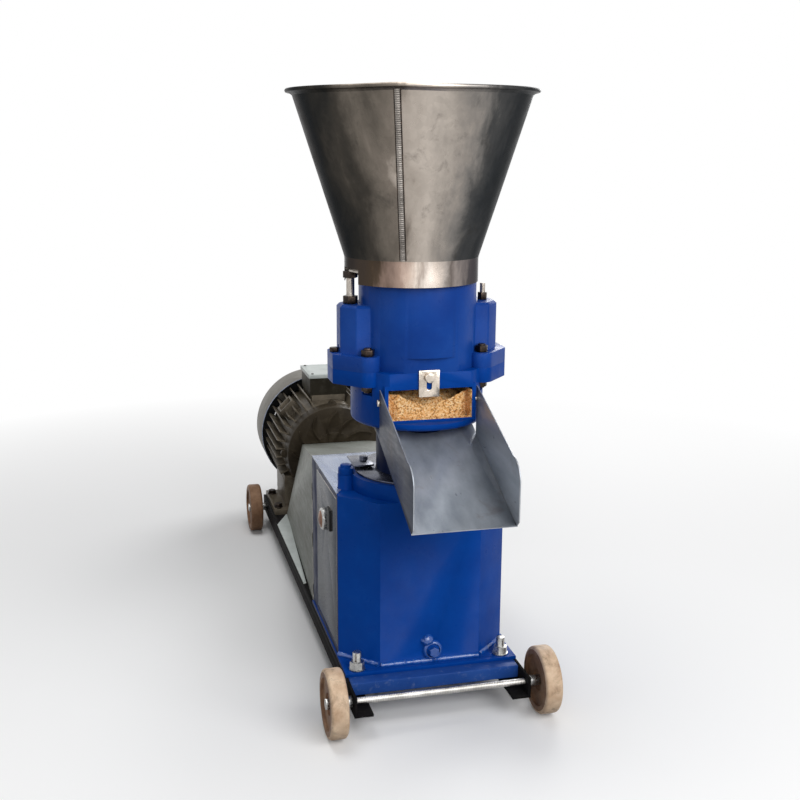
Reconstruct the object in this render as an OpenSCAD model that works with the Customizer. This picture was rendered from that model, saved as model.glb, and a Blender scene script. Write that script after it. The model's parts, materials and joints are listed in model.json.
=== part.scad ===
// Flat die feed pellet mill on four nylon wheels
// The pieces are drawn about the die axis, then shifted so that the box's bottom centre is the origin

/* [Chassis] */
// Radius of a wheel
wheel_r = 62.5; // [55:0.5:70]
// Width of a wheel's tread
wheel_w = 32.7; // [28:0.1:36]
// Distance from the outside of a rail to a wheel's middle
wheel_out = 32.2; // [30:0.1:36]
// Front axle, distance before the die axis
front_axle_y = 190; // [180:1:195]
// Rear axle, distance behind the die axis
rear_axle_y = 945; // [920:1:955]
// Radius of the axle rods
axle_r = 6; // [5:0.5:7]
// Half the width over the two rails
rail_half = 166; // [164:0.5:168]
// Height of a rail
rail_h = 39; // [36:1:42]
// Width of a rail's flanges
rail_flange = 35; // [32:1:38]
// Thickness of a rail's walls
rail_t = 5; // [4:0.5:6]
// Front end of the rails, distance before the die axis
rail_front = 212; // [210:1:220]
// Rear end of the rails, distance behind the die axis
rail_rear = 1000; // [985:1:1015]

/* [Gearbox] */
// Step from the outside of a rail in to the side of the gearbox
box_step = 4; // [3:0.5:6]
// Front face of the gearbox, distance before the die axis
box_front = 112; // [110:1:118]
// Rear face of the gearbox casting, distance behind the die axis
box_rear = 178; // [174:1:184]
// Chamfer of the two front corners
box_chamfer = 66; // [58:1:70]
// Height of the gearbox top over the floor
box_top = 402; // [396:1:406]
// Thickness of the gearbox foot
foot_t = 6; // [5:0.5:8]
// Wall of the gearbox casting
box_wall = 10; // [8:0.5:12]
// Depth of the rear cover casting
rear_cover_t = 46; // [42:1:50]
// Height of the input shaft over the floor
drive_z = 238; // [234:1:242]
// Teeth of the crown wheel
crown_teeth = 40; // [40:4:40]
// Teeth of the bevel pinion
pinion_teeth = 12; // [12:1:12]
// Module of the bevel pair
gear_module = 4.7; // [4.5:0.1:4.8]
// Face width of the bevel pair
gear_face = 27; // [24:1:28]
// Radius of the input shaft
input_r = 20; // [18:0.5:21]

/* [Mill] */
// Radius of the neck under the discharge housing
neck_r = 76; // [74:0.5:80]
// Radius of the flange that the neck stands on
neck_flange_r = 128; // [122:1:130]
// Top of the neck's flange
neck_flange_top = 432; // [428:1:436]
// Underside of the discharge housing
drum_bottom = 534; // [530:1:538]
// Radius of the discharge housing
drum_r = 124; // [122:0.5:126]
// Joint between discharge housing and roller chamber
split_z = 637; // [636:0.5:640]
// Thickness of each of the two bolted flanges
ear_t = 27; // [26:0.5:28]
// Radius of the roller chamber
chamber_r = 108.5; // [107:0.5:110]
// Bore of the roller chamber
chamber_bore_r = 86.5; // [86.5:0.25:88]
// Top of the roller chamber
chamber_top = 812; // [808:1:816]
// Radius of the flat die
die_r = 85; // [84:0.25:85.5]
// Thickness of the flat die
die_t = 28; // [25:1:30]
// Top face of the flat die
die_top = 646; // [644:0.5:648]
// Radius of a die hole
die_hole_r = 3; // [2:0.25:3.5]
// Radius of a roller
roller_r = 40; // [38:0.5:41]
// Width of a roller
roller_w = 38; // [34:1:39]
// Radius of the roller axle
roller_axle_r = 15; // [14:0.5:16]
// Lift of the roller axle over its whole adjustment
roller_lift = 5; // [3:1:6]
// Half the width of the discharge window's frame
window_half = 85; // [82:0.5:86]
// Front plane of the discharge window, distance before the die axis
window_front = 98; // [96:0.5:100]
// Travel of the slotted plate
gate_travel = 18; // [14:1:18]

/* [Hopper] */
// Outer radius of the hopper's rim
hopper_rim_r = 226; // [224:0.5:232]
// Height of the hopper's rim over the floor
hopper_top = 1131; // [1110:1:1150]
// Outer radius of the hopper's collar
collar_r = 122.4; // [121:0.1:124]
// Underside of the collar
collar_bottom = 792; // [788:1:796]
// Top of the collar, where the cone starts
cone_bottom = 838; // [832:1:846]
// Sheet thickness of the hopper
hopper_t = 1.5; // [1:0.25:2]

/* [Chute] */
// Half the inner width of the chute
chute_half = 90; // [89:0.5:93]
// Sheet thickness of the chute
chute_t = 2; // [1.5:0.25:2.5]
// Lip of the chute, distance before the die axis
chute_lip_y = 314; // [300:1:320]
// Height of the chute's lip over the floor
chute_lip_z = 415; // [405:1:420]

/* [Motor] */
// Face of the front end shield, distance behind the die axis
motor_front = 815; // [810:1:825]
// Length of the finned motor body between its end shields
motor_body_l = 210; // [200:1:220]
// Radius of the motor body under the fins
motor_r = 128; // [124:1:130]
// Radius over the fins
fin_r = 150; // [146:1:152]
// Radius of the fan cowl
cowl_r = 160; // [157:0.5:161]
// Length of the fan cowl
cowl_l = 128; // [120:1:134]
// Radius of the motor shaft
motor_shaft_r = 21; // [19:0.5:22]

/* [Guard] */
// Half the width of the guard's top at the motor end
guard_top_half = 86; // [80:1:92]
// Height of the guard's top at the motor end
guard_top_z = 268; // [262:1:274]
// Sheet thickness of the guard
guard_t = 2; // [1.5:0.25:2.5]

/* [Hidden] */
$fn = 96;

// Fits and overruns
run_gap = 0.05;
press_gap = 0.02;
seat_gap = 0.3;
cut_over = 1;
round_n = 32;
half_turn = 180;
quarter = 90;
full_turn = 360;

// Colours
mill_blue = [0.05, 0.17, 0.45];
navy = [0.02, 0.05, 0.2];
steel = [0.62, 0.63, 0.64];
bright = [0.8, 0.8, 0.8];
sheet = [0.5, 0.53, 0.56];
dark = [0.16, 0.15, 0.13];
nylon = [0.8, 0.74, 0.65];
motor_grey = [0.35, 0.34, 0.3];
copper = [0.7, 0.4, 0.2];
rubber = [0.6, 0.1, 0.05];

// Chassis values
track_half = rail_half + wheel_out;
box_half = rail_half - box_step;
rail_rise = 16.5;
rail_top = wheel_r + rail_rise;
rail_bottom = rail_top - rail_h;
beam_h = 24;
beam_d = 38;
beam_front = 158;
middle_beam_y = 640;
hub_r = 20;
hub_half = 8;
tread_round = 6;
face_recess = 5;
face_r = 47;
nut_m12_af = 19;
nut_m12_h = 8;
axle_half = track_half + hub_half + nut_m12_h + cut_over / 2;
spacer_r = 10;

// Gearbox values
foot_step = 0.5;
foot_half = rail_half - foot_step;
foot_front = 131;
foot_rear = box_rear + rear_cover_t;
box_bottom = rail_top + foot_t;
recess_d = 6;
recess_y0 = -34;
recess_low = 12;
recess_high = 10;
recess_z0 = box_bottom + recess_low;
recess_z1 = box_top - recess_high;
opening_edge = 16;
side_pad_y = 24;
side_pad_up = 16;
side_pad_w = 28;
side_pad_h = 42;
side_pad_d = 5;
glass_y = 74;
glass_z = 318;
side_pad_z = glass_z + side_pad_up;
glass_r = 22;
glass_d = 10;
plug_up = 23;
plug_z = box_bottom + plug_up;
plug_x = 5;
plug_r = 13;
plug_h = 7;
plug_thread_r = 8;
boss_in = 25;
boss_x = box_half - boss_in;
boss_y = 3;
boss_r = 15.5;
boss_h = 29;
boss_top = box_top + boss_h;
cap_r = 14.5;
cap_h = 12;
cap_nut_h = 6;
m16_r = 8;
m16_hole = 8.5;
nut_m16_af = 24;
nut_m16_h = 13;
stud_in = 26;
stud_x = rail_half - stud_in;
stud_edge = 19;
stud_y = foot_front - stud_edge;
stud_rear_in = 24;
stud_rear_y = box_rear + stud_rear_in;
washer_t = 3;
washer_over = 3;
stud_top = 34;
stud_pocket_r = 18;
lower_bearing_r = 50;
lower_shaft_r = 27.5;
lower_bearing_up = 5;
lower_bearing_z = box_bottom + box_wall + lower_bearing_up;
lower_bearing_h = 21;
cartridge_r = 60;
input_bearing_r = 40;
input_bearing_w = 18;
cartridge_front = 130;

// Bevel pair values
crown_pitch_r = gear_module * crown_teeth / 2;
pinion_pitch_r = gear_module * pinion_teeth / 2;
cone_l = sqrt(crown_pitch_r * crown_pitch_r + pinion_pitch_r * pinion_pitch_r);
crown_angle = atan2(crown_teeth, pinion_teeth);
pinion_angle = quarter - crown_angle;
tip_share = 0.8;
root_share = 1.15;
tooth_share = 0.4;
flank_slope = 0.3;
gear_scale = (cone_l - gear_face) / cone_l;
crown_hub_r = 44;
crown_hub_l = 40;
crown_back = 16;
crown_bore_r = lower_shaft_r + press_gap;
nose_share = 0.4;

// Mill values
neck_bore_r = 60;
neck_shaft_r = 32.5;
neck_bearing_h = 23;
neck_bearing_low = 440;
neck_bearing_high = 488;
shoulder = 3;
cover_t = 4;
cover_r = 118;
drum_wall = 17;
drum_floor = 10;
drum_round = 8;
rim_h = 13;
sill_up = 17;
sill_z = drum_bottom + sill_up;
frame_bar = 7;
window_drop = 3;
frame_back = 60;
band_z = split_z - ear_t;
window_top = band_z - window_drop;
fillet_steps = 6;
ear_x = 165;
ear_flat = 24;
ear_boss_r = 21.5;
ear_round = 5;
bolt_x = 107;
bolt_y = 59;
flange_bolt_r = 7;
flange_nut_af = 21;
flange_nut_h = 12;
low_nut_h = 10;
nut_pocket_h = 18;
nut_pocket_r = 13;
side_nut_x = 157;
m10_r = 5;
nut_m10_af = 15;
nut_m10_h = 8;
side_pocket_r = nut_m10_af / 2 + m10_r / 2;
lug_in = 80;
lug_out = 149;
lug_corner = 129;
lug_half = 45;
lug_flat = 14;
lug_round = 8;
lug_edge = 5;
lug_top = 752;
axle_slot_half = roller_axle_r + seat_gap;
roller_gap = 0.4;
roller_z = die_top + roller_gap + roller_r;
roller_x = 53;
roller_bearing_r = 26;
groove_n = 24;
groove_w = 5;
groove_d = 2.5;
axle_end = lug_out - 8;
bolt_adj_x = 126;
bolt_adj_top = 811;
bolt_adj_head = 12;
bolt_adj_r = 7.5;
bolt_adj_af = 24;
lock_h = 14;
screw_r = 5;
screw_top = 783;
screw_nut_af = 16;
die_holes = [18, 24, 30];
die_rings = [42, 53, 64];
hub_top_h = 20;
hub_nut_r = 26;
top_shaft_r = 22;
flinger_r = 84;
flinger_z = 547;
flinger_t = 5;
vane_h = 14;
vane_t = 6;
vane_in = 34;
sleeve_r = 30;
cutter_t = 6;
cutter_w = 30;
cutter_in = 34;
cutter_head_r = 5;
cutter_head_h = 4;
gate_w = 38;
gate_x = -4;
gate_h = 48.5;
gate_t = 4;
gate_bottom = 593.5;
gate_slot_w = 10;
gate_bolt_z = 629;
gate_bolt_r = 4.7;
gate_head_r = 9;
gate_head_h = 7;
gate_bolt_deep = 10;

// Hopper values
collar_in = collar_r - hopper_t;
hopper_x = -(collar_in - chamber_r - seat_gap);
hopper_flare = 13;
hopper_lip = 8;
bead_r = 3.5;
notch_over = 2;
seam_w = 26;
seam_t = 1.2;
seam_angle = 248.5;
seat_r = 90;
seat_t = 3;
notch_half = 15;
notch_top = bolt_adj_top + roller_lift + notch_over;
mid_x = hopper_x;

// Chute values
chute_back_y = 87;
wall_back_z = 607;
wall_knee_y = 168;
wall_knee_z = 576;
wall_far_y = 286;
wall_far_z = 529;
wall_round = 38;
wall_front = 324;
chute_root_y = 46;
chute_root_z = drum_bottom - seat_gap;
chute_bolt_y = 91;
chute_bolt_zs = [584];
chute_bolt_r = 3;
chute_bolt_head = 6.5;
chute_bolt_head_h = 5;
chute_bolt_deep = 6;
chute_washer = 4.5;

// Motor values
shield_l = 35;
shield_r = 128;
body_y = motor_front + shield_l;
body_end = body_y + motor_body_l;
bore_r = 118;
core_r = 80;
core_l = 150;
core_y = body_y + (motor_body_l - core_l) / 2;
air_gap = 0.6;
slot_n = 24;
slot_w = 8;
slot_d = 20;
fin_n = 40;
fin_t = 3.5;
foot_len = 180;
foot_w = 64;
foot_h = 13;
foot_out_step = 6;
foot_out = rail_half - foot_out_step;
foot_bolt_step = 19;
foot_bolt_x = rail_half - foot_bolt_step;
foot_bolt_in = 30;
foot_bolt_r = 6;
ear_r = 11;
ear_out = 127;
vane_n = 12;
swirl_r = 52;
swirl_turn = 80;
swirl_t = 4;
swirl_h = 6;
shield_in = 10;
shield_boss_r = 56;
motor_bearing_r = 45;
motor_bearing_w = 22;
rear_shield_l = 25;
shaft_out = 160;
shaft_tail = 72;
cowl_t = 2;
cowl_y = body_end - 5;
cowl_round = 18;
vent_r = 5;
vent_rings = [48, 68, 88, 108];
vent_step = 18;
fan_r = 122;
fan_w = 26;
fan_gap = 18;
fan_hub_r = 32;
fan_blades = 7;
fan_blade_t = 4;
term_in = 82;
box_y = motor_front + term_in;
term_l = 134;
term_half = 49;
term_top = 434;
term_bottom = 378;
term_lid_h = 10;
term_wall = 4;
term_over = 3;
term_screw_r = 3.5;
term_screw_h = 2;
gland_r = 14;
gland_bore_r = 7;
gland_l = 24;
pad_w = 46;
pad_l = 52;
pad_out = 158;
pad_angle = 135;
pad_in = 60;
pad_y = body_y + pad_in;

// Coupling values
coupling_y = 610;
jaw_l = 24;
jaw_r = 58;
jaw_in = 26;
jaw_angle = 49;
leg_angle = 9;
hub_len = 70;
hub_barrel_r = 38;
hub_disc_t = 22;
spider_ring = 14;
guard_front = foot_rear + 2;
guard_rear = motor_front - 4;
guard_base_half = 130;
guard_plate_z = box_top;
guard_tip_y = -40;
guard_notch = 10;
guard_notch_zs = [[96, 24], [202, 32], [306, 39]];
guard_tip_x = 128;
guard_tip_back = 24;
guard_lip = 3;
lip_start = 330;
bracket_x = 119;
bracket_y = 4;
bracket_w = 38;
bracket_l = 70;
bracket_z = 440;
bracket_t = 3;
bracket_bolt_x = 93;
bracket_bolt_y = 40;

// Whole box values
front_reach = wall_front;
rear_reach = cowl_y + cowl_l;
mid_y = (rear_reach - front_reach) / 2;

// Shift from the die axis to the middle of the box
module place() {
    translate([-mid_x, -mid_y, 0]) children();
}

// Cylinder along X, from x0 over length l
module rod_x(r, l) {
    rotate([0, quarter, 0]) cylinder(r = r, h = l);
}

// Cylinder along Y, over length l
module rod_y(r, l) {
    rotate([-quarter, 0, 0]) cylinder(r = r, h = l);
}

// Hexagonal prism along Z by its width across flats
module hexagon(af, h) {
    cylinder(d = af / cos(half_turn / 6), h = h, $fn = 6);
}

// Nut standing on z = 0
module nut(af, h, r) {
    difference() {
        hexagon(af, h);
        translate([0, 0, -cut_over]) cylinder(r = r, h = h + 2 * cut_over);
    }
}

// Ring along Z
module ring(ro, ri, h) {
    difference() {
        cylinder(r = ro, h = h);
        translate([0, 0, -cut_over]) cylinder(r = ri, h = h + 2 * cut_over);
    }
}

// Ring along Y
module ring_y(ro, ri, h) {
    rotate([-quarter, 0, 0]) ring(ro, ri, h);
}

// Chassis

module rail() {
    difference() {
        translate([rail_half - rail_flange, -rail_front, rail_bottom])
            cube([rail_flange, rail_front + rail_rear, rail_h]);
        translate([rail_half - rail_flange - cut_over, -rail_front - cut_over, rail_bottom + rail_t])
            cube([rail_flange - rail_t + cut_over, rail_front + rail_rear + 2 * cut_over, rail_h - 2 * rail_t]);
        // The top flange is cut back where the front beam lies
        translate([rail_half - rail_flange - cut_over, -rail_front - cut_over, rail_bottom + rail_t])
            cube([rail_flange - rail_t + cut_over, rail_front - beam_front + beam_d + cut_over, rail_h]);
        for (y = [-front_axle_y, rear_axle_y])
            translate([rail_half - rail_t - cut_over, y, wheel_r]) rod_x(axle_r + run_gap, rail_t + 2 * cut_over);
        for (y = [motor_front + foot_bolt_in / 2, motor_front + foot_len - foot_bolt_in])
            translate([foot_bolt_x, y, rail_top - rail_t - cut_over])
                cylinder(r = foot_bolt_r, h = rail_t + 2 * cut_over);
    }
}

module left_rail() {
    color(dark) mirror([1, 0, 0]) rail();
}

module right_rail() {
    color(dark) rail();
}

module cross_bar(y, z, h) {
    in_half = rail_half - rail_t;
    translate([-in_half, y, z]) cube([2 * in_half, beam_d, h]);
}

module front_beam() {
    color(mill_blue) cross_bar(-beam_front, rail_top - beam_h, beam_h);
}

module middle_beam() {
    color(dark) cross_bar(middle_beam_y, rail_bottom + rail_t, rail_h - 2 * rail_t);
}

module rear_beam() {
    color(dark) cross_bar(rail_rear - beam_d, rail_bottom + rail_t, rail_h - 2 * rail_t);
}

module axle(y) {
    color(bright) translate([-axle_half, y, wheel_r]) rod_x(axle_r, 2 * axle_half);
}

module wheel(side, y) {
    half = wheel_w / 2;
    color(nylon) translate([side * track_half, y, wheel_r]) rotate([0, quarter, 0]) rotate_extrude() difference() {
        hull() {
            translate([0, -half]) square([wheel_r - tread_round, wheel_w]);
            for (s = [-1, 1]) translate([wheel_r - tread_round, s * (half - tread_round)])
                circle(r = tread_round, $fn = round_n);
        }
        translate([-wheel_r, -wheel_w]) square([wheel_r + axle_r + run_gap, 2 * wheel_w]);
        for (s = [0, 1]) mirror([0, s]) {
            translate([-cut_over, hub_half]) square([hub_r + cut_over, wheel_w]);
            translate([hub_r - cut_over, half - face_recess]) square([face_r - hub_r + cut_over, wheel_w]);
        }
    }
}

module axle_nuts() {
    color(steel) for (s = [-1, 1]) for (y = [-front_axle_y, rear_axle_y])
        translate([s * (track_half + hub_half + seat_gap), y, wheel_r]) rotate([0, s * quarter, 0])
            nut(nut_m12_af, nut_m12_h, axle_r + press_gap);
}

module wheel_spacers() {
    l = track_half - hub_half - rail_half - 2 * seat_gap;
    color(steel) for (s = [-1, 1]) for (y = [-front_axle_y, rear_axle_y])
        translate([s * (rail_half + seat_gap), y, wheel_r]) rotate([0, s * quarter, 0])
            ring(spacer_r, axle_r + press_gap, l);
}

// Gearbox

module box_outline(half, front, rear, c) {
    polygon([[-half, -front + c], [-half + c, -front], [half - c, -front], [half, -front + c],
        [half, rear], [-half, rear]]);
}

module gearbox_housing() {
    inner = box_half - box_wall;
    color(mill_blue) difference() {
        union() {
            translate([-foot_half, -foot_front, rail_top]) cube([2 * foot_half, foot_front + foot_rear, foot_t]);
            translate([0, 0, box_bottom - cut_over]) linear_extrude(box_top - box_bottom + cut_over)
                box_outline(box_half, box_front, box_rear, box_chamfer);
            translate([-boss_x, -boss_y, box_top - cut_over]) cylinder(r = boss_r, h = boss_h + cut_over);
        }
        difference() {
            translate([0, 0, box_bottom + box_wall]) linear_extrude(box_top - box_bottom - 2 * box_wall)
                box_outline(inner, box_front - box_wall, box_rear + cut_over, box_chamfer - box_wall / 2);
            // Seat of the lower bearing
            translate([0, 0, box_bottom]) cylinder(r = lower_bearing_r + box_wall, h = box_wall + lower_bearing_h + 3);
        }
        translate([0, 0, lower_bearing_z]) cylinder(r = lower_bearing_r + press_gap, h = box_top);
        // Side opening with a step for the cover
        translate([-box_half - cut_over, recess_y0, recess_z0])
            cube([recess_d + cut_over, box_rear - recess_y0 - opening_edge / 2, recess_z1 - recess_z0]);
        translate([-box_half - cut_over, recess_y0 + opening_edge, recess_z0 + opening_edge])
            cube([box_wall + 2 * cut_over, box_rear - recess_y0 - 2.5 * opening_edge,
                recess_z1 - recess_z0 - 2 * opening_edge]);
        translate([plug_x, -box_front - cut_over, plug_z]) rod_y(plug_thread_r + press_gap, box_wall + 2 * cut_over);
        for (s = [-1, 1]) for (y = [-stud_y, stud_rear_y]) translate([s * stud_x, y, rail_top - cut_over])
            cylinder(r = m16_hole, h = foot_t + 2 * cut_over);
        translate([-boss_x, -boss_y, boss_top - boss_r]) cylinder(r = m10_r, h = boss_r + cut_over);
    }
}

module side_cover() {
    g = press_gap;
    color(steel) difference() {
        union() {
            translate([-box_half, recess_y0 + g, recess_z0 + g])
                cube([recess_d - g, box_rear - recess_y0 - opening_edge / 2 - 2 * g, recess_z1 - recess_z0 - 2 * g]);
            translate([-box_half - side_pad_d, side_pad_y - side_pad_w / 2, side_pad_z - side_pad_h / 2])
                cube([side_pad_d + cut_over, side_pad_w, side_pad_h]);
        }
        translate([-box_half - cut_over, glass_y, glass_z]) rod_x(glass_r / 2, recess_d + 2 * cut_over);
    }
}

module sight_glass() {
    color(bright) translate([-box_half, glass_y, glass_z]) rotate([0, -quarter, 0]) rotate_extrude() polygon([
        [0, -recess_d], [glass_r / 2 - press_gap, -recess_d], [glass_r / 2 - press_gap, 0], [glass_r, 0],
        [glass_r, glass_d - face_recess / 2], [glass_r - face_recess / 2, glass_d],
        [glass_r * 0.7, glass_d], [glass_r * 0.6, glass_d - face_recess / 2], [0, glass_d - face_recess / 2]]);
}

module drain_plug() {
    color(mill_blue) translate([plug_x, -box_front, plug_z]) {
        rod_y(plug_thread_r, box_wall);
        translate([0, -plug_h, 0]) rotate([-quarter, 0, 0]) cylinder(r1 = plug_r - cut_over, r2 = plug_r, h = plug_h);
    }
}

module corner_boss_cap() {
    color(dark) translate([-boss_x, -boss_y, boss_top]) {
        cylinder(r = cap_r, h = cap_h);
        translate([0, 0, cap_h]) hexagon(nut_m12_af, cap_nut_h);
        translate([0, 0, -boss_r / 2]) cylinder(r = m10_r - press_gap, h = boss_r / 2);
    }
}

module base_studs() {
    color(dark) for (s = [-1, 1]) for (y = [-stud_y, stud_rear_y]) translate([s * stud_x, y, rail_top]) {
        cylinder(r = m16_r, h = foot_t + (y > 0 ? nut_m16_h + face_recess : stud_top));
        translate([0, 0, foot_t + washer_t]) nut(nut_m16_af, nut_m16_h, m16_r - press_gap);
        translate([0, 0, foot_t]) cylinder(r = nut_m16_af / 2 + washer_over, h = washer_t);
    }
}

module rear_cover() {
    w = box_half;
    h = box_top - box_bottom - cut_over;
    color(navy) difference() {
        union() {
            translate([-w, box_rear, box_bottom]) cube([2 * w, rear_cover_t, h]);
            translate([0, cartridge_front, drive_z]) rod_y(cartridge_r, box_rear - cartridge_front + cut_over);
        }
        translate([0, cartridge_front - cut_over, drive_z])
            rod_y(input_bearing_r + press_gap, foot_rear - cartridge_front - face_recess + cut_over);
        translate([0, foot_rear - rear_cover_t, drive_z]) rod_y(input_r + cut_over, rear_cover_t + cut_over);
        // The casting is hollow round the cartridge
        difference() {
            translate([-w + box_wall, box_rear - cut_over, box_bottom + box_wall])
                cube([2 * (w - box_wall), rear_cover_t - box_wall + cut_over, h - 2 * box_wall]);
            translate([0, box_rear - 2 * cut_over, drive_z]) rod_y(cartridge_r + shoulder, rear_cover_t);
        }
        // Clearance for the rear studs and their nuts
        for (s = [-1, 1]) translate([s * stud_x, stud_rear_y, box_bottom - cut_over])
            cylinder(r = stud_pocket_r, h = nut_m16_h + box_wall + face_recess);
    }
}

module lower_bearing() {
    color(bright) translate([0, 0, lower_bearing_z + press_gap])
        ring(lower_bearing_r, lower_shaft_r + run_gap, lower_bearing_h);
}

module neck_bearings() {
    color(bright) for (z = [neck_bearing_low, neck_bearing_high]) translate([0, 0, z])
        ring(neck_bore_r - press_gap, neck_shaft_r + run_gap, neck_bearing_h);
}

module input_bearings() {
    last = foot_rear - face_recess - input_bearing_w;
    color(bright) for (y = [cartridge_front + 2, last - press_gap]) translate([0, y, drive_z])
        ring_y(input_bearing_r, input_r + run_gap, input_bearing_w);
}

module shaft_seal() {
    color(rubber) translate([0, 0, neck_bearing_high + neck_bearing_h + cut_over])
        ring(neck_bore_r - press_gap, neck_shaft_r + run_gap, cut_over * 8);
}

// One tooth space, a wedge that runs down to the cone's point
module tooth_space() {
    pitch = PI * gear_module;
    half = pitch * (1 - tooth_share) / 2;
    top = gear_module * tip_share + cut_over;
    low = gear_module * root_share;
    far = (cone_l + cut_over) / cone_l;
    near = (cone_l - gear_face - cut_over) / cone_l;
    translate([0, 0, cone_l + cut_over]) mirror([0, 0, 1])
        linear_extrude(gear_face + 2 * cut_over, scale = near / far) scale(far) polygon([
            [-half - top * flank_slope, top], [-half + low * flank_slope, -low],
            [half - low * flank_slope, -low], [half + top * flank_slope, top]]);
}

// Toothed cone with its point at the origin and its axis along Z, widest end up
module bevel(teeth, angle) {
    tip = gear_module * tip_share;
    low = gear_module * root_share + crown_back / 2;
    so = cone_l;
    si = cone_l - gear_face;
    difference() {
        rotate_extrude() polygon([
            [so * sin(angle) + tip * cos(angle), so * cos(angle) - tip * sin(angle)],
            [so * sin(angle) - low * cos(angle), so * cos(angle) + low * sin(angle)],
            [0, so * cos(angle) + low * sin(angle)],
            [0, si * cos(angle) + low * sin(angle) * gear_scale],
            [si * sin(angle) - low * cos(angle) * gear_scale, si * cos(angle) + low * sin(angle) * gear_scale],
            [si * sin(angle) + tip * cos(angle) * gear_scale, si * cos(angle) - tip * sin(angle) * gear_scale]]);
        for (i = [0:teeth - 1]) rotate([0, 0, i * full_turn / teeth]) rotate([angle, 0, 0])
            mirror([0, 1, 0]) tooth_space();
    }
}

module crown_wheel() {
    hub_top = drive_z - pinion_pitch_r - crown_back / 2;
    color(steel) difference() {
        union() {
            translate([0, 0, drive_z]) mirror([0, 0, 1]) bevel(crown_teeth, crown_angle);
            translate([0, 0, hub_top - crown_hub_l]) cylinder(r = crown_hub_r, h = crown_hub_l);
            translate([0, 0, hub_top - crown_back]) cylinder(r = crown_pitch_r - gear_face, h = crown_back);
        }
        translate([0, 0, drive_z / 2]) cylinder(r = crown_bore_r, h = drive_z);
    }
}

module bevel_pinion() {
    color(steel) difference() {
        translate([0, 0, drive_z]) rotate([-quarter, 0, 0]) rotate([0, 0, half_turn / pinion_teeth])
            bevel(pinion_teeth, pinion_angle);
        translate([0, 0, drive_z]) rod_y(nose_share * input_r + press_gap, box_rear);
    }
}

module main_shaft() {
    color(bright) {
        translate([0, 0, lower_bearing_z + seat_gap]) cylinder(r = lower_shaft_r, h = neck_bearing_low - lower_bearing_z - seat_gap);
        translate([0, 0, neck_bearing_low - cut_over]) cylinder(r = neck_shaft_r, h = flinger_z - neck_bearing_low + cut_over);
        translate([0, 0, flinger_z - cut_over]) cylinder(r = top_shaft_r, h = die_top - flinger_z + hub_top_h / 2 + cut_over);
    }
}

module input_shaft() {
    nose = crown_pitch_r - gear_face * cos(pinion_angle) + 2 * cut_over;
    color(bright) translate([0, 0, drive_z]) {
        translate([0, nose, 0]) rod_y(nose_share * input_r, crown_pitch_r + crown_back - nose);
        translate([0, crown_pitch_r + crown_back, 0]) rod_y(input_r, coupling_y - face_recess - crown_pitch_r - crown_back);
    }
}

// Mill

module ear_outline() {
    for (s = [-1, 1]) hull() {
        for (t = [-1, 1]) {
            translate([s * (ear_x - ear_round), t * ear_flat]) circle(r = ear_round, $fn = round_n);
            translate([s * bolt_x, t * bolt_y]) circle(r = ear_boss_r);
        }
    }
}

module flange_holes(z, r, deep) {
    for (sx = [-1, 1]) for (sy = [-1, 1]) translate([sx * bolt_x, sy * bolt_y, z + ear_t - deep])
        cylinder(r = r, h = deep + cut_over);
    translate([-side_nut_x, 0, z - cut_over]) cylinder(r = m10_r + press_gap, h = ear_t + 2 * cut_over);
}

module front_cut(z, h) {
    translate([-drum_r, -2 * drum_r, z]) cube([2 * drum_r, 2 * drum_r - window_front, h]);
}

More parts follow.
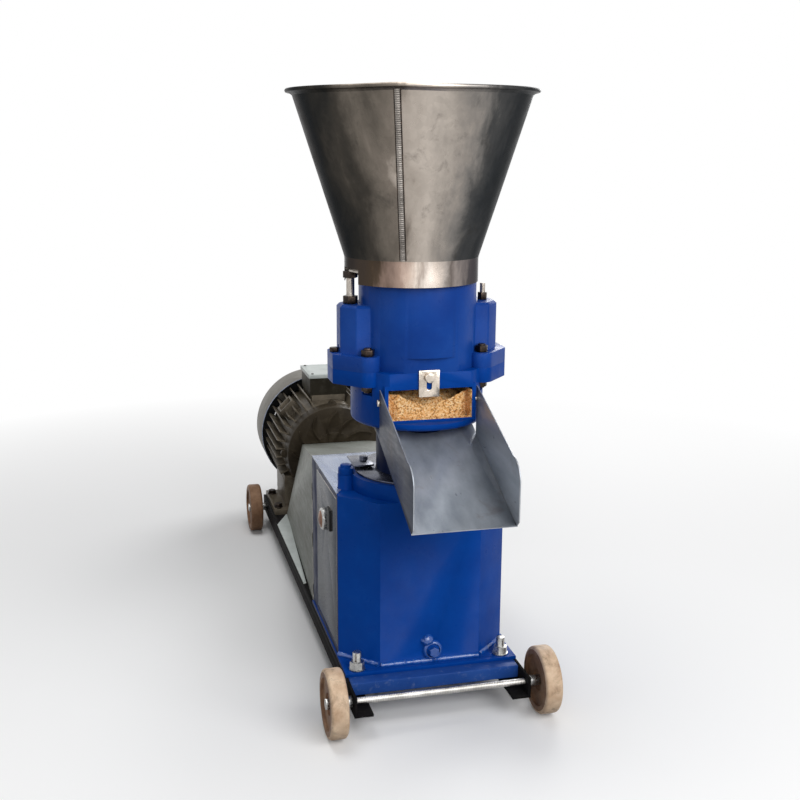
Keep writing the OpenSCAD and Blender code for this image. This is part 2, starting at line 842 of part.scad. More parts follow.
module discharge_housing() {
    in_r = drum_r - drum_wall;
    color(mill_blue) difference() {
        union() {
            translate([0, 0, box_top]) cylinder(r = neck_flange_r, h = neck_flange_top - box_top);
            translate([0, 0, box_top]) cylinder(r = neck_r, h = drum_bottom - box_top + cut_over);
            difference() {
                translate([0, 0, drum_bottom]) rotate_extrude() polygon(concat([[0, 0]], [for (i = [0:fillet_steps])
                    [drum_r - drum_round + drum_round * sin(i * quarter / fillet_steps),
                    drum_round - drum_round * cos(i * quarter / fillet_steps)]],
                    [[drum_r, split_z - drum_bottom], [0, split_z - drum_bottom]]));
                front_cut(drum_bottom + rim_h, split_z);
            }
            translate([0, 0, band_z]) linear_extrude(ear_t) ear_outline();
            translate([-window_half, -window_front, drum_bottom + rim_h - cut_over])
                cube([2 * window_half, window_front - frame_back, window_top + frame_bar - drum_bottom - rim_h + cut_over]);
        }
        // Neck bore with a shoulder between the bearings
        translate([0, 0, box_top - cut_over]) cylinder(r = neck_shaft_r + shoulder, h = drum_bottom);
        translate([0, 0, box_top - cut_over]) cylinder(r = neck_bore_r, h = neck_bearing_low + neck_bearing_h - box_top + cut_over);
        translate([0, 0, neck_bearing_high]) cylinder(r = neck_bore_r, h = drum_bottom);
        // Drum cavity, open up to the die
        difference() {
            translate([0, 0, drum_bottom + drum_floor]) cylinder(r = in_r, h = band_z - drum_bottom - drum_floor);
            translate([-drum_r, -2 * drum_r, drum_bottom]) cube([2 * drum_r, 2 * drum_r - window_front + frame_bar, drum_r]);
        }
        translate([0, 0, drum_bottom + drum_floor]) cylinder(r = chamber_bore_r, h = drum_r);
        translate([frame_bar - window_half, -window_front - cut_over, sill_z])
            cube([2 * (window_half - frame_bar), window_front, window_top - sill_z]);
        flange_holes(band_z, flange_bolt_r + press_gap, ear_t + cut_over);
        // The flange clears the corner boss of the gearbox
        translate([-boss_x, -boss_y, box_top - cut_over]) cylinder(r = boss_r + seat_gap, h = neck_flange_top - box_top + 2 * cut_over);
        // Pockets in the wall for the nuts under the ears
        for (sx = [-1, 1]) for (sy = [-1, 1]) translate([sx * bolt_x, sy * bolt_y, band_z - nut_pocket_h])
            cylinder(r = nut_pocket_r, h = nut_pocket_h);
        translate([gate_x, -window_front - cut_over, gate_bolt_z]) rod_y(gate_bolt_r + press_gap, gate_bolt_deep + cut_over);
        for (s = [-1, 1]) for (z = chute_bolt_zs)
            translate([s * window_half - (s > 0 ? chute_bolt_deep : cut_over), -chute_bolt_y, z])
                rod_x(chute_bolt_r + press_gap, chute_bolt_deep + cut_over);
        for (s = [-1, 1]) for (z = chute_bolt_zs) translate([s > 0 ? window_half : -drum_r, -chute_bolt_y, z])
            rod_x(chute_washer + cut_over, drum_r - window_half);
    }
}

module bearing_cover() {
    color(steel) translate([0, 0, neck_flange_top]) ring(cover_r, neck_r + seat_gap, cover_t);
    color(steel) difference() {
        translate([-bracket_x, bracket_y, bracket_z]) cube([bracket_w, bracket_l, bracket_t]);
        translate([-bracket_bolt_x, bracket_bolt_y, bracket_z - cut_over]) cylinder(r = m10_r + press_gap, h = bracket_t + 2 * cut_over);
    }
    color(dark) translate([-bracket_bolt_x, bracket_bolt_y, neck_flange_top + cover_t]) {
        cylinder(r = m10_r, h = bracket_z + bracket_t - neck_flange_top - cover_t);
        translate([0, 0, bracket_z + bracket_t - neck_flange_top - cover_t]) hexagon(nut_m10_af, nut_m10_h);
        cylinder(r = nut_m10_af / 2, h = bracket_z - neck_flange_top - cover_t);
    }
}

module flinger() {
    color(steel) difference() {
        translate([0, 0, flinger_z]) {
            cylinder(r = flinger_r, h = flinger_t);
            cylinder(r = vane_in, h = flinger_t + vane_h);
            cylinder(r = sleeve_r, h = die_top - die_t - flinger_z);
            for (a = [0:2]) rotate([0, 0, a * full_turn / 3]) translate([vane_in - cut_over, -vane_t / 2, 0])
                cube([flinger_r - vane_in - face_recess, vane_t, flinger_t + vane_h]);
        }
        translate([0, 0, flinger_z - cut_over]) cylinder(r = top_shaft_r + press_gap, h = die_top - flinger_z);
    }
}

// Fixed knife under the die, screwed to the ledge under the bolted flange
module cutter() {
    in_r = drum_r - drum_wall;
    ledge = in_r - chamber_bore_r;
    color(steel) translate([0, 0, band_z]) rotate([0, 0, quarter]) {
        translate([cutter_in, -cutter_w / 2, -cutter_t]) cube([in_r - cutter_in - ledge / 6, cutter_w, cutter_t]);
        for (s = [-1, 1]) translate([in_r - ledge / 2, s * cutter_w / 4, -cutter_t - cutter_head_h])
            cylinder(r = cutter_head_r, h = cutter_head_h);
    }
}

module die() {
    color(steel) difference() {
        translate([0, 0, die_top - die_t]) cylinder(r = die_r, h = die_t);
        translate([0, 0, die_top - die_t - cut_over]) cylinder(r = top_shaft_r + press_gap, h = die_t + 2 * cut_over);
        for (k = [0:2]) for (i = [0:die_holes[k] - 1]) rotate([0, 0, i * full_turn / die_holes[k]])
            translate([die_rings[k], 0, die_top - die_t - cut_over]) cylinder(r = die_hole_r, h = die_t + 2 * cut_over, $fn = round_n / 2);
    }
}

module die_nut() {
    color(bright) difference() {
        translate([0, 0, die_top]) cylinder(r1 = hub_nut_r, r2 = hub_nut_r - face_recess, h = hub_top_h);
        translate([0, 0, die_top - cut_over]) cylinder(r = top_shaft_r + press_gap, h = hub_top_h / 2 + 2 * cut_over);
    }
}

module lug_posts(s, r, h) {
    c = lug_round;
    for (t = [-1, 1]) {
        translate([s * (lug_in + c), t * (lug_half - c), 0]) cylinder(r = r, h = h, $fn = round_n);
        translate([s * (lug_corner - c), t * (lug_half - c), 0]) cylinder(r = r, h = h, $fn = round_n);
        translate([s * (lug_out - c), t * lug_flat, 0]) cylinder(r = r, h = h, $fn = round_n);
    }
}

module roller_chamber() {
    slot_low = roller_z - axle_slot_half;
    slot_high = roller_z + axle_slot_half + roller_lift;
    slot_out = axle_end + 2 * cut_over;
    color(mill_blue) difference() {
        union() {
            difference() {
                translate([0, 0, split_z]) cylinder(r = chamber_r, h = chamber_top - split_z);
                front_cut(split_z - cut_over, ear_t + cut_over);
            }
            translate([0, 0, split_z]) linear_extrude(ear_t) ear_outline();
            for (s = [-1, 1]) translate([0, 0, split_z]) hull() {
                lug_posts(s, lug_round, lug_top - lug_edge - split_z);
                lug_posts(s, lug_round - lug_edge, lug_top - split_z);
            }
        }
        translate([0, 0, split_z - cut_over]) cylinder(r = chamber_bore_r, h = chamber_top - split_z + 2 * cut_over);
        // Slots in which the roller axle moves up and down
        translate([-slot_out, -axle_slot_half, slot_low]) cube([2 * slot_out, 2 * axle_slot_half, slot_high - slot_low]);
        translate([-bolt_adj_x, 0, roller_z]) cylinder(r = bolt_adj_r + run_gap, h = chamber_top - roller_z);
        translate([bolt_adj_x, 0, roller_z]) cylinder(r = screw_r + run_gap, h = chamber_top - roller_z);
        flange_holes(split_z, flange_bolt_r + seat_gap, ear_t + cut_over);
        // Pocket in the lug beside the side nut
        translate([-side_nut_x, 0, split_z + ear_t]) cylinder(r = side_pocket_r, h = nut_m10_h + m10_r);
    }
}

module roller_axle() {
    flat_z = roller_axle_r - 2 * cut_over;
    color(steel) translate([0, 0, roller_z]) difference() {
        translate([-axle_end, 0, 0]) rod_x(roller_axle_r, 2 * axle_end);
        // Flats for the tips of the two screws
        for (s = [-1, 1]) translate([s * bolt_adj_x - roller_axle_r, -roller_axle_r, flat_z])
            cube([2 * roller_axle_r, 2 * roller_axle_r, roller_axle_r]);
    }
}

module roller(side) {
    color(steel) translate([side * roller_x, 0, roller_z]) rotate([0, quarter, 0]) difference() {
        translate([0, 0, -roller_w / 2]) cylinder(r = roller_r, h = roller_w);
        translate([0, 0, -roller_w]) cylinder(r = roller_axle_r + run_gap, h = 2 * roller_w);
        for (i = [0:groove_n - 1]) rotate([0, 0, i * full_turn / groove_n])
            translate([roller_r - groove_d, -groove_w / 2, -roller_w]) cube([roller_r, groove_w, 2 * roller_w]);
    }
}

module adjusting_bolt() {
    tip = roller_z + roller_axle_r - 2 * cut_over + seat_gap;
    color(dark) translate([-bolt_adj_x, 0, 0]) {
        translate([0, 0, tip]) cylinder(r = bolt_adj_r, h = bolt_adj_top - tip - bolt_adj_head / 2);
        translate([0, 0, bolt_adj_top - bolt_adj_head]) hexagon(bolt_adj_af, bolt_adj_head);
    }
}

module set_screw() {
    tip = roller_z + roller_axle_r - 2 * cut_over + seat_gap;
    color(steel) translate([bolt_adj_x, 0, 0]) difference() {
        translate([0, 0, tip]) cylinder(r = screw_r, h = screw_top - tip);
        translate([-screw_r, -cut_over / 2, screw_top - 3 * cut_over]) cube([2 * screw_r, cut_over, 4 * cut_over]);
    }
}

module lock_nuts() {
    color(dark) translate([-bolt_adj_x, 0, lug_top]) nut(bolt_adj_af, lock_h, bolt_adj_r + run_gap);
    color(steel) translate([bolt_adj_x, 0, lug_top]) nut(screw_nut_af, lock_h, screw_r + run_gap);
}

module flange_bolts() {
    bottom = band_z - low_nut_h - shoulder;
    top = split_z + ear_t + flange_nut_h + shoulder;
    color(dark) {
        for (sx = [-1, 1]) for (sy = [-1, 1]) translate([sx * bolt_x, sy * bolt_y, 0]) {
            translate([0, 0, bottom]) cylinder(r = flange_bolt_r, h = top - bottom);
            translate([0, 0, split_z + ear_t]) hexagon(flange_nut_af, flange_nut_h);
            translate([0, 0, band_z - low_nut_h]) hexagon(flange_nut_af, low_nut_h);
        }
        translate([-side_nut_x, 0, band_z]) cylinder(r = m10_r, h = 2 * ear_t + nut_m10_h);
        translate([-side_nut_x, 0, split_z + ear_t]) hexagon(nut_m10_af, nut_m10_h);
    }
}

module slotted_plate() {
    slot_low = gate_bolt_z - gate_travel;
    color(bright) difference() {
        translate([gate_x - gate_w / 2, -window_front - gate_t, gate_bottom]) cube([gate_w, gate_t - press_gap, gate_h]);
        hull() for (z = [slot_low, gate_bolt_z])
            translate([gate_x, -window_front - gate_t - cut_over, z]) rod_y(gate_slot_w / 2, gate_t + 2 * cut_over);
    }
}

module plate_bolt() {
    color(steel) translate([gate_x, -window_front - gate_t - seat_gap, gate_bolt_z]) {
        rod_y(gate_bolt_r, gate_t + seat_gap + gate_bolt_deep);
        translate([0, -gate_head_h, 0]) rod_y(gate_head_r, gate_head_h);
    }
}

// Outline of the chute's side wall, forward to the right and up
module chute_side() {
    difference() {
        union() {
            polygon([[chute_back_y, chute_floor_z(chute_back_y)], [chute_back_y, wall_back_z],
                [wall_knee_y, wall_knee_z], [wall_far_y, wall_far_z], [wall_front, wall_far_z - wall_round],
                [wall_front, chute_lip_z + wall_round / 4], [chute_lip_y, chute_lip_z]]);
            intersection() {
                translate([wall_front - wall_round, wall_far_z - wall_round]) circle(r = wall_round);
                translate([wall_far_y, wall_far_z - wall_round]) square(wall_round);
            }
        }
    }
}

function chute_floor_z(y) =
    chute_lip_z + (chute_root_z - chute_lip_z) * (chute_lip_y - y) / (chute_lip_y - chute_root_y);

module chute() {
    color(sheet) {
        for (s = [-1, 1]) difference() {
            translate([s * chute_half + (s > 0 ? 0 : -chute_t), 0, 0]) rotate([quarter, 0, quarter])
                mirror([1, 0, 0]) linear_extrude(chute_t) chute_side();
            for (z = chute_bolt_zs) translate([s * chute_half - 2 * chute_t, -chute_bolt_y, z])
                rod_x(chute_bolt_r + press_gap, 4 * chute_t);
        }
        // Floor, cut round the neck
        difference() {
            translate([-chute_half - chute_t, 0, 0]) rotate([quarter, 0, quarter]) mirror([1, 0, 0])
                linear_extrude(2 * (chute_half + chute_t)) polygon([
                    [chute_root_y, chute_root_z], [chute_lip_y, chute_lip_z],
                    [chute_lip_y, chute_lip_z - chute_t], [chute_root_y, chute_root_z - chute_t]]);
            translate([0, 0, box_top]) cylinder(r = neck_r + cut_over, h = drum_bottom - box_top);
        }
    }
}

module chute_bolts() {
    out = chute_half + chute_t;
    color(bright) for (s = [-1, 1]) for (z = chute_bolt_zs) translate([0, -chute_bolt_y, z])
        rotate([0, s * quarter, 0]) {
            translate([0, 0, window_half - chute_bolt_deep]) cylinder(r = chute_bolt_r, h = out + chute_bolt_deep - window_half);
            translate([0, 0, out]) cylinder(r = chute_bolt_head, h = chute_bolt_head_h);
            translate([0, 0, window_half + press_gap]) cylinder(r = chute_washer, h = chute_half - window_half - 2 * press_gap);
        }
}

// Hopper

module hopper() {
    top_z = hopper_top - bead_r;
    cone_top = hopper_rim_r - hopper_flare;
    t = hopper_t;
    color(steel) translate([hopper_x, 0, 0]) {
        difference() {
            rotate_extrude() polygon([[collar_in, collar_bottom], [collar_r, collar_bottom], [collar_r, cone_bottom],
                [cone_top, top_z - hopper_lip], [hopper_rim_r - bead_r, top_z - t], [hopper_rim_r - bead_r, top_z],
                [cone_top - t, top_z - hopper_lip], [collar_in, cone_bottom]]);
            collar_notch();
        }
        translate([0, 0, top_z]) rotate_extrude() translate([hopper_rim_r - bead_r, 0]) circle(r = bead_r, $fn = round_n);
        // Lapped seam down the cone
        rotate([0, 0, seam_angle]) rotate([0, 0, -seam_half()]) rotate_extrude(angle = 2 * seam_half()) polygon([
            [collar_r - t / 2, cone_bottom], [collar_r + seam_t, cone_bottom],
            [cone_top + seam_t, top_z - hopper_lip], [cone_top - t / 2, top_z - hopper_lip]]);
    }
}

function seam_half() = atan2(seam_w / 4, collar_r);

// Notch of the collar round the head of the tall bolt
module collar_notch() {
    in_x = bolt_adj_x + hopper_x - notch_half;
    translate([-collar_r - cut_over, -notch_half, collar_bottom - cut_over])
        cube([collar_r + cut_over - in_x, 2 * notch_half, notch_top - collar_bottom + cut_over]);
}

module hopper_seat() {
    color(steel) translate([hopper_x, 0, 0]) difference() {
        translate([0, 0, chamber_top]) ring(collar_in - seat_gap, seat_r, seat_t);
        collar_notch();
    }
}

// Guard over the coupling

module guard_solid(t) {
    low = rail_top - cut_over;
    hull() {
        translate([-box_half + t, guard_front - t, low]) cube([2 * (box_half - t), cut_over, box_top - t - low]);
        translate([-guard_top_half + t, guard_rear + t, guard_top_z - t - cut_over]) cube([2 * (guard_top_half - t), cut_over, cut_over]);
        translate([-guard_base_half + t, guard_rear + t, low]) cube([2 * (guard_base_half - t), cut_over, cut_over]);
    }
}

module coupling_guard() {
    t = guard_t;
    color(sheet) {
        difference() {
            guard_solid(0);
            guard_solid(t);
            translate([-rail_half, 0, 0]) cube([2 * rail_half, rear_reach, rail_top]);
            translate([-box_half + t, guard_front - cut_over, rail_top - cut_over])
                cube([2 * (box_half - t), 2 * cut_over + t, box_top - rail_top - t + cut_over]);
            for (n = guard_notch_zs) translate([-box_half - cut_over, guard_front - t - cut_over, n[0]])
                cube([2 * (box_half + cut_over), guard_notch + t + cut_over, n[1]]);
            translate([-guard_top_half, guard_rear - t, rail_top - cut_over])
                cube([2 * guard_top_half, 4 * t, guard_top_z - rail_top - 2 * t]);
        }
        // Flat plate over the back of the gearbox, cut round the neck's flange
        difference() {
            translate([0, 0, guard_plate_z]) linear_extrude(t) polygon([
                [-box_half, guard_tip_y], [-guard_tip_x, guard_tip_back], [guard_tip_x, guard_tip_back],
                [box_half, guard_tip_y], [box_half, guard_front + cut_over], [-box_half, guard_front + cut_over]]);
            translate([0, 0, guard_plate_z - cut_over]) cylinder(r = neck_flange_r + cut_over, h = t + 2 * cut_over);
            translate([-boss_x, -boss_y, guard_plate_z - cut_over]) cylinder(r = boss_r + cut_over, h = t + 2 * cut_over);
        }
        // Lips on the rails
        for (s = [-1, 1]) mirror([s > 0 ? 0 : 1, 0, 0]) translate([0, 0, rail_top]) linear_extrude(t) polygon([
            [box_half - t, lip_start], [rail_half, lip_start], [rail_half, guard_rear - 2 * beam_d],
            [guard_base_half + t, guard_rear], [guard_base_half - t / 2, guard_rear]]);
    }
}

// Coupling

module sector(ri, ro, a) {
    rotate([0, 0, -a / 2]) rotate_extrude(angle = a) translate([ri, 0]) square([ro - ri, jaw_l - cut_over]);
}

module coupling_hub(bore) {
    difference() {
        union() {
            cylinder(r = hub_barrel_r, h = hub_len);
            translate([0, 0, hub_len - hub_disc_t]) cylinder(r = jaw_r, h = hub_disc_t);
            for (a = [0:2]) rotate([0, 0, (a + 0.5) * full_turn / 3]) translate([0, 0, hub_len - cut_over / 2])
                sector(jaw_in, jaw_r - cut_over, jaw_angle);
        }
        translate([0, 0, -cut_over]) cylinder(r = bore, h = hub_len + 2 * cut_over);
    }
}

module gearbox_hub() {
    color(dark) translate([0, coupling_y - hub_len, drive_z]) rotate([-quarter, 0, 0]) coupling_hub(input_r + press_gap);
}

module motor_hub() {
    color(dark) translate([0, coupling_y + jaw_l + hub_len, drive_z]) rotate([quarter, 0, 0]) rotate([0, 0, half_turn])
        coupling_hub(motor_shaft_r + press_gap);
}

module spider() {
    ro = jaw_r - face_recess;
    color(rubber) translate([0, coupling_y, drive_z]) rotate([-quarter, 0, 0]) translate([0, 0, cut_over / 2]) {
        linear_extrude(jaw_l - cut_over) difference() {
            union() {
                circle(r = jaw_in - cut_over / 2);
                for (i = [0:5]) rotate((i + 0.5) * full_turn / 6) translate([spider_ring, -leg_half()])
                    square([ro - spider_ring, 2 * leg_half()]);
            }
            circle(r = spider_ring + cut_over);
        }
    }
}

function leg_half() = jaw_in * sin(leg_angle / 2);

// Motor

module foot_holes() {
    for (s = [-1, 1]) for (y = [motor_front + foot_bolt_in / 2, motor_front + foot_len - foot_bolt_in])
        translate([s * foot_bolt_x, y, rail_top - cut_over]) cylinder(r = foot_bolt_r, h = foot_h + 2 * cut_over);
}

module motor_body() {
    color(motor_grey) difference() {
        union() {
            translate([0, body_y, drive_z]) rotate([-quarter, 0, 0]) linear_extrude(motor_body_l) {
                circle(r = motor_r);
                // No fins under the terminal box
                for (i = [0:fin_n - 1]) let(a = (i + 0.5) * full_turn / fin_n)
                    if (sin(a) > 0 || abs(cos(a)) * fin_r > term_half + term_over)
                        rotate([0, 0, a]) translate([motor_r - cut_over, -fin_t / 2])
                            square([fin_r - motor_r + cut_over, fin_t]);
            }
            // Feet with their webs
            for (s = [-1, 1]) {
                translate([s > 0 ? foot_out - foot_w : -foot_out, motor_front, rail_top]) cube([foot_w, foot_len, foot_h]);
                translate([s > 0 ? foot_out - foot_w : -foot_out + foot_w / 2, body_y, rail_top])
                    cube([foot_w / 2, foot_len - shield_l, drive_z - rail_top - motor_r / 2]);
            }
            translate([0, pad_y, drive_z]) rotate([0, pad_angle, 0]) translate([-pad_w / 2, 0, 0]) {
                translate([0, 0, -pad_out]) cube([pad_w, pad_l, pad_out - motor_r + 2 * cut_over]);
            }
            translate([-term_half + term_wall, box_y, drive_z]) cube([2 * (term_half - term_wall), term_l, term_bottom - drive_z]);
        }
        translate([0, body_y - cut_over - shield_l, drive_z]) rod_y(bore_r, motor_body_l + shield_l + 2 * cut_over);
        foot_holes();
        // Pocket in the lifting pad
        translate([0, pad_y, drive_z]) rotate([0, pad_angle, 0])
            translate([-pad_w / 2 + face_recess, face_recess, -pad_out - cut_over])
                cube([pad_w - 2 * face_recess, pad_l - 2 * face_recess, cap_r + cut_over]);
    }
}

module shield_ears(l) {
    for (a = [0:3]) rotate([0, 0, a * quarter]) hull() {
        translate([0, ear_out, 0]) cylinder(r = ear_r, h = l);
        translate([0, shield_r - 3 * ear_r, 0]) cylinder(r = 2 * ear_r, h = l);
    }
}

module motor_shields() {
    color(motor_grey) {
        translate([0, motor_front, drive_z]) rotate([-quarter, 0, 0]) difference() {
            union() {
                translate([0, 0, 2 * cut_over]) cylinder(r1 = shield_r - face_recess, r2 = shield_r, h = shield_l - 2 * cut_over - seat_gap);
                translate([0, 0, shield_l - ear_r - seat_gap]) shield_ears(ear_r);
                cylinder(r = shield_boss_r, h = shield_l / 2);
                // Curved ribs on the face
                for (i = [0:vane_n - 1]) rotate([0, 0, (i + 0.4) * full_turn / vane_n])
                    translate([shield_boss_r - 2 * cut_over, swirl_r, -swirl_h / 4]) rotate([0, 0, -quarter])
                        rotate_extrude(angle = swirl_turn) translate([swirl_r - swirl_t, 0]) square([swirl_t, swirl_h]);
            }
            translate([0, 0, shield_in]) cylinder(r = bore_r - box_wall, h = shield_l);
            translate([0, 0, -shield_l]) cylinder(r = motor_shaft_r + cut_over, h = 2 * shield_l);
        }
        translate([0, motor_front + shield_in - cut_over, drive_z])
            ring_y(shield_boss_r, motor_bearing_r + press_gap, motor_bearing_w + cut_over);
        // Rear shield with its spigot and bearing seat, in one turned profile
        translate([0, body_end, drive_z]) rotate([-quarter, 0, 0]) rotate_extrude() polygon([
            [motor_shaft_r + cut_over, rear_shield_l], [shield_r - 2 * face_recess, rear_shield_l],
            [shield_r - seat_gap, rear_shield_l - shield_in], [shield_r - seat_gap, seat_gap],
            [bore_r - cut_over, seat_gap], [bore_r - cut_over, -cut_over], [bore_r - 2 * box_wall, -cut_over],
            [bore_r - 2 * box_wall, rear_shield_l - box_wall], [shield_boss_r, rear_shield_l - box_wall],
            [shield_boss_r, -box_wall], [motor_bearing_r + press_gap, -box_wall],
            [motor_bearing_r + press_gap, motor_bearing_w - box_wall], [motor_shaft_r + cut_over, motor_bearing_w - box_wall]]);
    }
}

module motor_bearings() {
    color(bright) for (y = [motor_front + shield_in + press_gap, body_end - box_wall + press_gap])
        translate([0, y, drive_z]) ring_y(motor_bearing_r, motor_shaft_r + run_gap, motor_bearing_w - 2 * press_gap);
}

module stator() {
    color(steel) translate([0, core_y, drive_z]) rotate([-quarter, 0, 0]) difference() {
        cylinder(r = bore_r - press_gap, h = core_l);
        translate([0, 0, -cut_over]) cylinder(r = core_r + air_gap, h = core_l + 2 * cut_over);
    }
    color(copper) for (y = [core_y - slot_d, core_y + core_l]) translate([0, y, drive_z])
        ring_y(core_r + slot_d + slot_w, core_r + slot_w, slot_d);
}

module rotor() {
    color(bright) translate([0, 0, drive_z]) {
        translate([0, motor_front - shaft_out, 0]) rod_y(motor_shaft_r, body_end + shaft_tail + shaft_out - motor_front);
        translate([0, core_y, 0]) rod_y(core_r, core_l);
    }
}

module fan() {
    y0 = body_end + rear_shield_l + fan_gap;
    color(dark) translate([0, y0, drive_z]) rotate([-quarter, 0, 0]) {
        linear_extrude(swirl_t) difference() {
            circle(r = fan_r);
            circle(r = motor_shaft_r + press_gap);
        }
        translate([0, 0, swirl_t]) linear_extrude(fan_w - swirl_t) difference() {
            union() {
                circle(r = fan_hub_r);
                for (i = [0:fan_blades - 1]) rotate((i + 0.5) * full_turn / fan_blades)
                    translate([motor_shaft_r + face_recess, -fan_blade_t / 2])
                        square([fan_r - motor_shaft_r - 2 * face_recess, fan_blade_t]);
            }
            circle(r = motor_shaft_r + press_gap);
        }
    }
}

module fan_cowl() {
    t = cowl_t;
    r = cowl_round;
    color(motor_grey) translate([0, cowl_y, drive_z]) rotate([-quarter, 0, 0]) {
        difference() {
            rotate_extrude() difference() {
                union() {
                    square([cowl_r, cowl_l - r]);
                    square([cowl_r - r, cowl_l]);
                    translate([cowl_r - r, cowl_l - r]) circle(r = r);
                }
                translate([-cut_over, -cut_over]) square([cowl_r - t + cut_over, cowl_l - r + cut_over]);
                translate([-cut_over, -cut_over]) square([cowl_r - r + cut_over, cowl_l - t + cut_over]);
                translate([cowl_r - r, cowl_l - r]) circle(r = r - t);
                translate([-2 * cowl_r, -cowl_r]) square([2 * cowl_r, 3 * cowl_r]);
            }
            for (vr = vent_rings) for (i = [0:floor(2 * PI * vr / vent_step) - 1])
                rotate([0, 0, i * full_turn / floor(2 * PI * vr / vent_step)])
                    translate([vr, 0, cowl_l - 2 * t]) cylinder(r = vent_r, h = 3 * t, $fn = round_n / 2);
        }
        // Lugs that carry the cowl on the rear shield
        for (a = [0:3]) rotate([0, 0, (a + 0.5) * quarter]) translate([shield_r, -cap_r / 2, 6 * t])
            cube([cowl_r - shield_r - t / 2, cap_r, 3 * t]);
    }
}

module terminal_box() {
    w = term_half;
    lid_z = term_top - term_lid_h;
    color(motor_grey) difference() {
        translate([-w, box_y, term_bottom]) cube([2 * w, term_l, lid_z - term_bottom]);
        translate([-w + term_wall, box_y + term_wall, term_bottom + term_wall])
            cube([2 * (w - term_wall), term_l - 2 * term_wall, lid_z - term_bottom]);
        translate([w - 2 * term_wall, box_y + term_l / 2, (term_bottom + lid_z) / 2]) rod_x(gland_bore_r, gland_l);
    }
    color(sheet) translate([-w - term_over, box_y - term_over, lid_z]) cube([2 * (w + term_over), term_l + 2 * term_over, term_lid_h]);
    color(dark) for (sx = [-1, 1]) for (y = [box_y + 2 * term_wall, box_y + term_l - 2 * term_wall])
        translate([sx * (w - 2 * term_wall), y, term_top]) cylinder(r = term_screw_r, h = term_screw_h);
    color(dark) translate([w, box_y + term_l / 2, (term_bottom + lid_z) / 2]) rotate([0, quarter, 0]) difference() {
        cylinder(r = gland_r, h = gland_l);
        translate([0, 0, -cut_over]) cylinder(r = gland_bore_r, h = gland_l + 2 * cut_over);
    }
}

place() left_rail();
place() right_rail();
place() front_beam();
place() middle_beam();
place() rear_beam();
place() axle(-front_axle_y);  // front_axle
place() axle(rear_axle_y);  // rear_axle
place() wheel(-1, -front_axle_y);  // wheel_front_left
place() wheel(1, -front_axle_y);  // wheel_front_right
place() wheel(-1, rear_axle_y);  // wheel_rear_left
place() wheel(1, rear_axle_y);  // wheel_rear_right
place() axle_nuts();
place() wheel_spacers();
place() gearbox_housing();
place() side_cover();
place() rear_cover();
place() sight_glass();
place() drain_plug();
place() corner_boss_cap();
place() base_studs();
place() main_shaft();
place() crown_wheel();
place() bevel_pinion();
place() input_shaft();
place() lower_bearing();
place() neck_bearings();
place() input_bearings();
place() shaft_seal();
place() discharge_housing();
place() bearing_cover();
place() flinger();
place() cutter();
place() die();
place() die_nut();
place() roller_chamber();
place() roller_axle();
place() roller(-1);  // left_roller
place() roller(1);  // right_roller
place() adjusting_bolt();
place() set_screw();
place() lock_nuts();
place() flange_bolts();
place() slotted_plate();
place() plate_bolt();
place() chute();
place() chute_bolts();
place() hopper();
place() hopper_seat();
place() coupling_guard();
place() gearbox_hub();
place() spider();
place() motor_hub();
place() motor_body();
place() motor_shields();
place() stator();
place() rotor();
place() motor_bearings();
place() fan();
place() fan_cowl();
place() terminal_box();
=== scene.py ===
# Feed pellet mill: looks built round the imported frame
import bpy
import json
from math import radians, pi, sin, cos, atan2, sqrt
from mathutils import Matrix, Vector, noise


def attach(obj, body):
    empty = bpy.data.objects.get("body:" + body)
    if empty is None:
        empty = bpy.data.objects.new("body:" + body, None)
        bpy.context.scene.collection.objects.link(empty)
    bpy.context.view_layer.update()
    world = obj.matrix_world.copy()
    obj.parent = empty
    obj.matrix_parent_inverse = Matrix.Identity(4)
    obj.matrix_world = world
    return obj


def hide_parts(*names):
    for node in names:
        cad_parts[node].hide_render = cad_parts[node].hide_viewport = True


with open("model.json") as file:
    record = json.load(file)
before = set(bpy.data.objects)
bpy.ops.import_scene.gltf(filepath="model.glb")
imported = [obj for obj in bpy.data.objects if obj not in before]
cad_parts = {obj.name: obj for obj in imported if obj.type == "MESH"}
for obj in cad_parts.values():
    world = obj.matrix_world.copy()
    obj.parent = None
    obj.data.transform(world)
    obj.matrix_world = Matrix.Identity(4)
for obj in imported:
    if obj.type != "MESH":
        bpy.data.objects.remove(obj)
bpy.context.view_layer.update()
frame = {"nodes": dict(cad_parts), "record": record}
nodes = frame["nodes"]
print("frame loaded:", len(nodes), "nodes")

# the centre of a lathe profile is a ring this small, in millimetres
axisR = 0.05
# the die axis stands at x 12.1, y -429.5 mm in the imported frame
dieAxis = {"x": 12.1, "y": -429.5}


def at(x, y, z):
    # millimetres from the die axis and the floor, to metres in the frame
    return Vector(((x + dieAxis["x"]) / 1000, (y + dieAxis["y"]) / 1000, z / 1000))


def mm(length):
    return length / 1000


def linear(hexText):
    # sRGB hex to linear colour
    parts = [int(hexText[i:i + 2], 16) / 255 for i in (0, 2, 4)]
    return tuple(p / 12.92 if p <= 0.04045 else ((p + 0.055) / 1.055) ** 2.4 for p in parts) + (1.0,)


def addNode(tree, kind, settings=None, links=None, stops=None):
    # one node with its settings, socket values, incoming links and colour stops
    node = tree.nodes.new("ShaderNode" + kind)
    for key, value in (settings or {}).items():
        if isinstance(key, int) or key in node.inputs:
            node.inputs[key].default_value = value
        else:
            setattr(node, key, value)
    for key, source in (links or {}).items():
        tree.links.new(source, node.inputs[key])
    for i, (place, colour) in enumerate(stops or []):
        element = node.color_ramp.elements[i] if i < 2 else node.color_ramp.elements.new(place)
        element.position = place
        element.color = colour
    return node


def newMaterial(name):
    material = bpy.data.materials.new(name)
    material.use_nodes = True
    tree = material.node_tree
    tree.nodes.clear()
    return material, tree


def grey(v):
    return (v, v, v, 1.0)


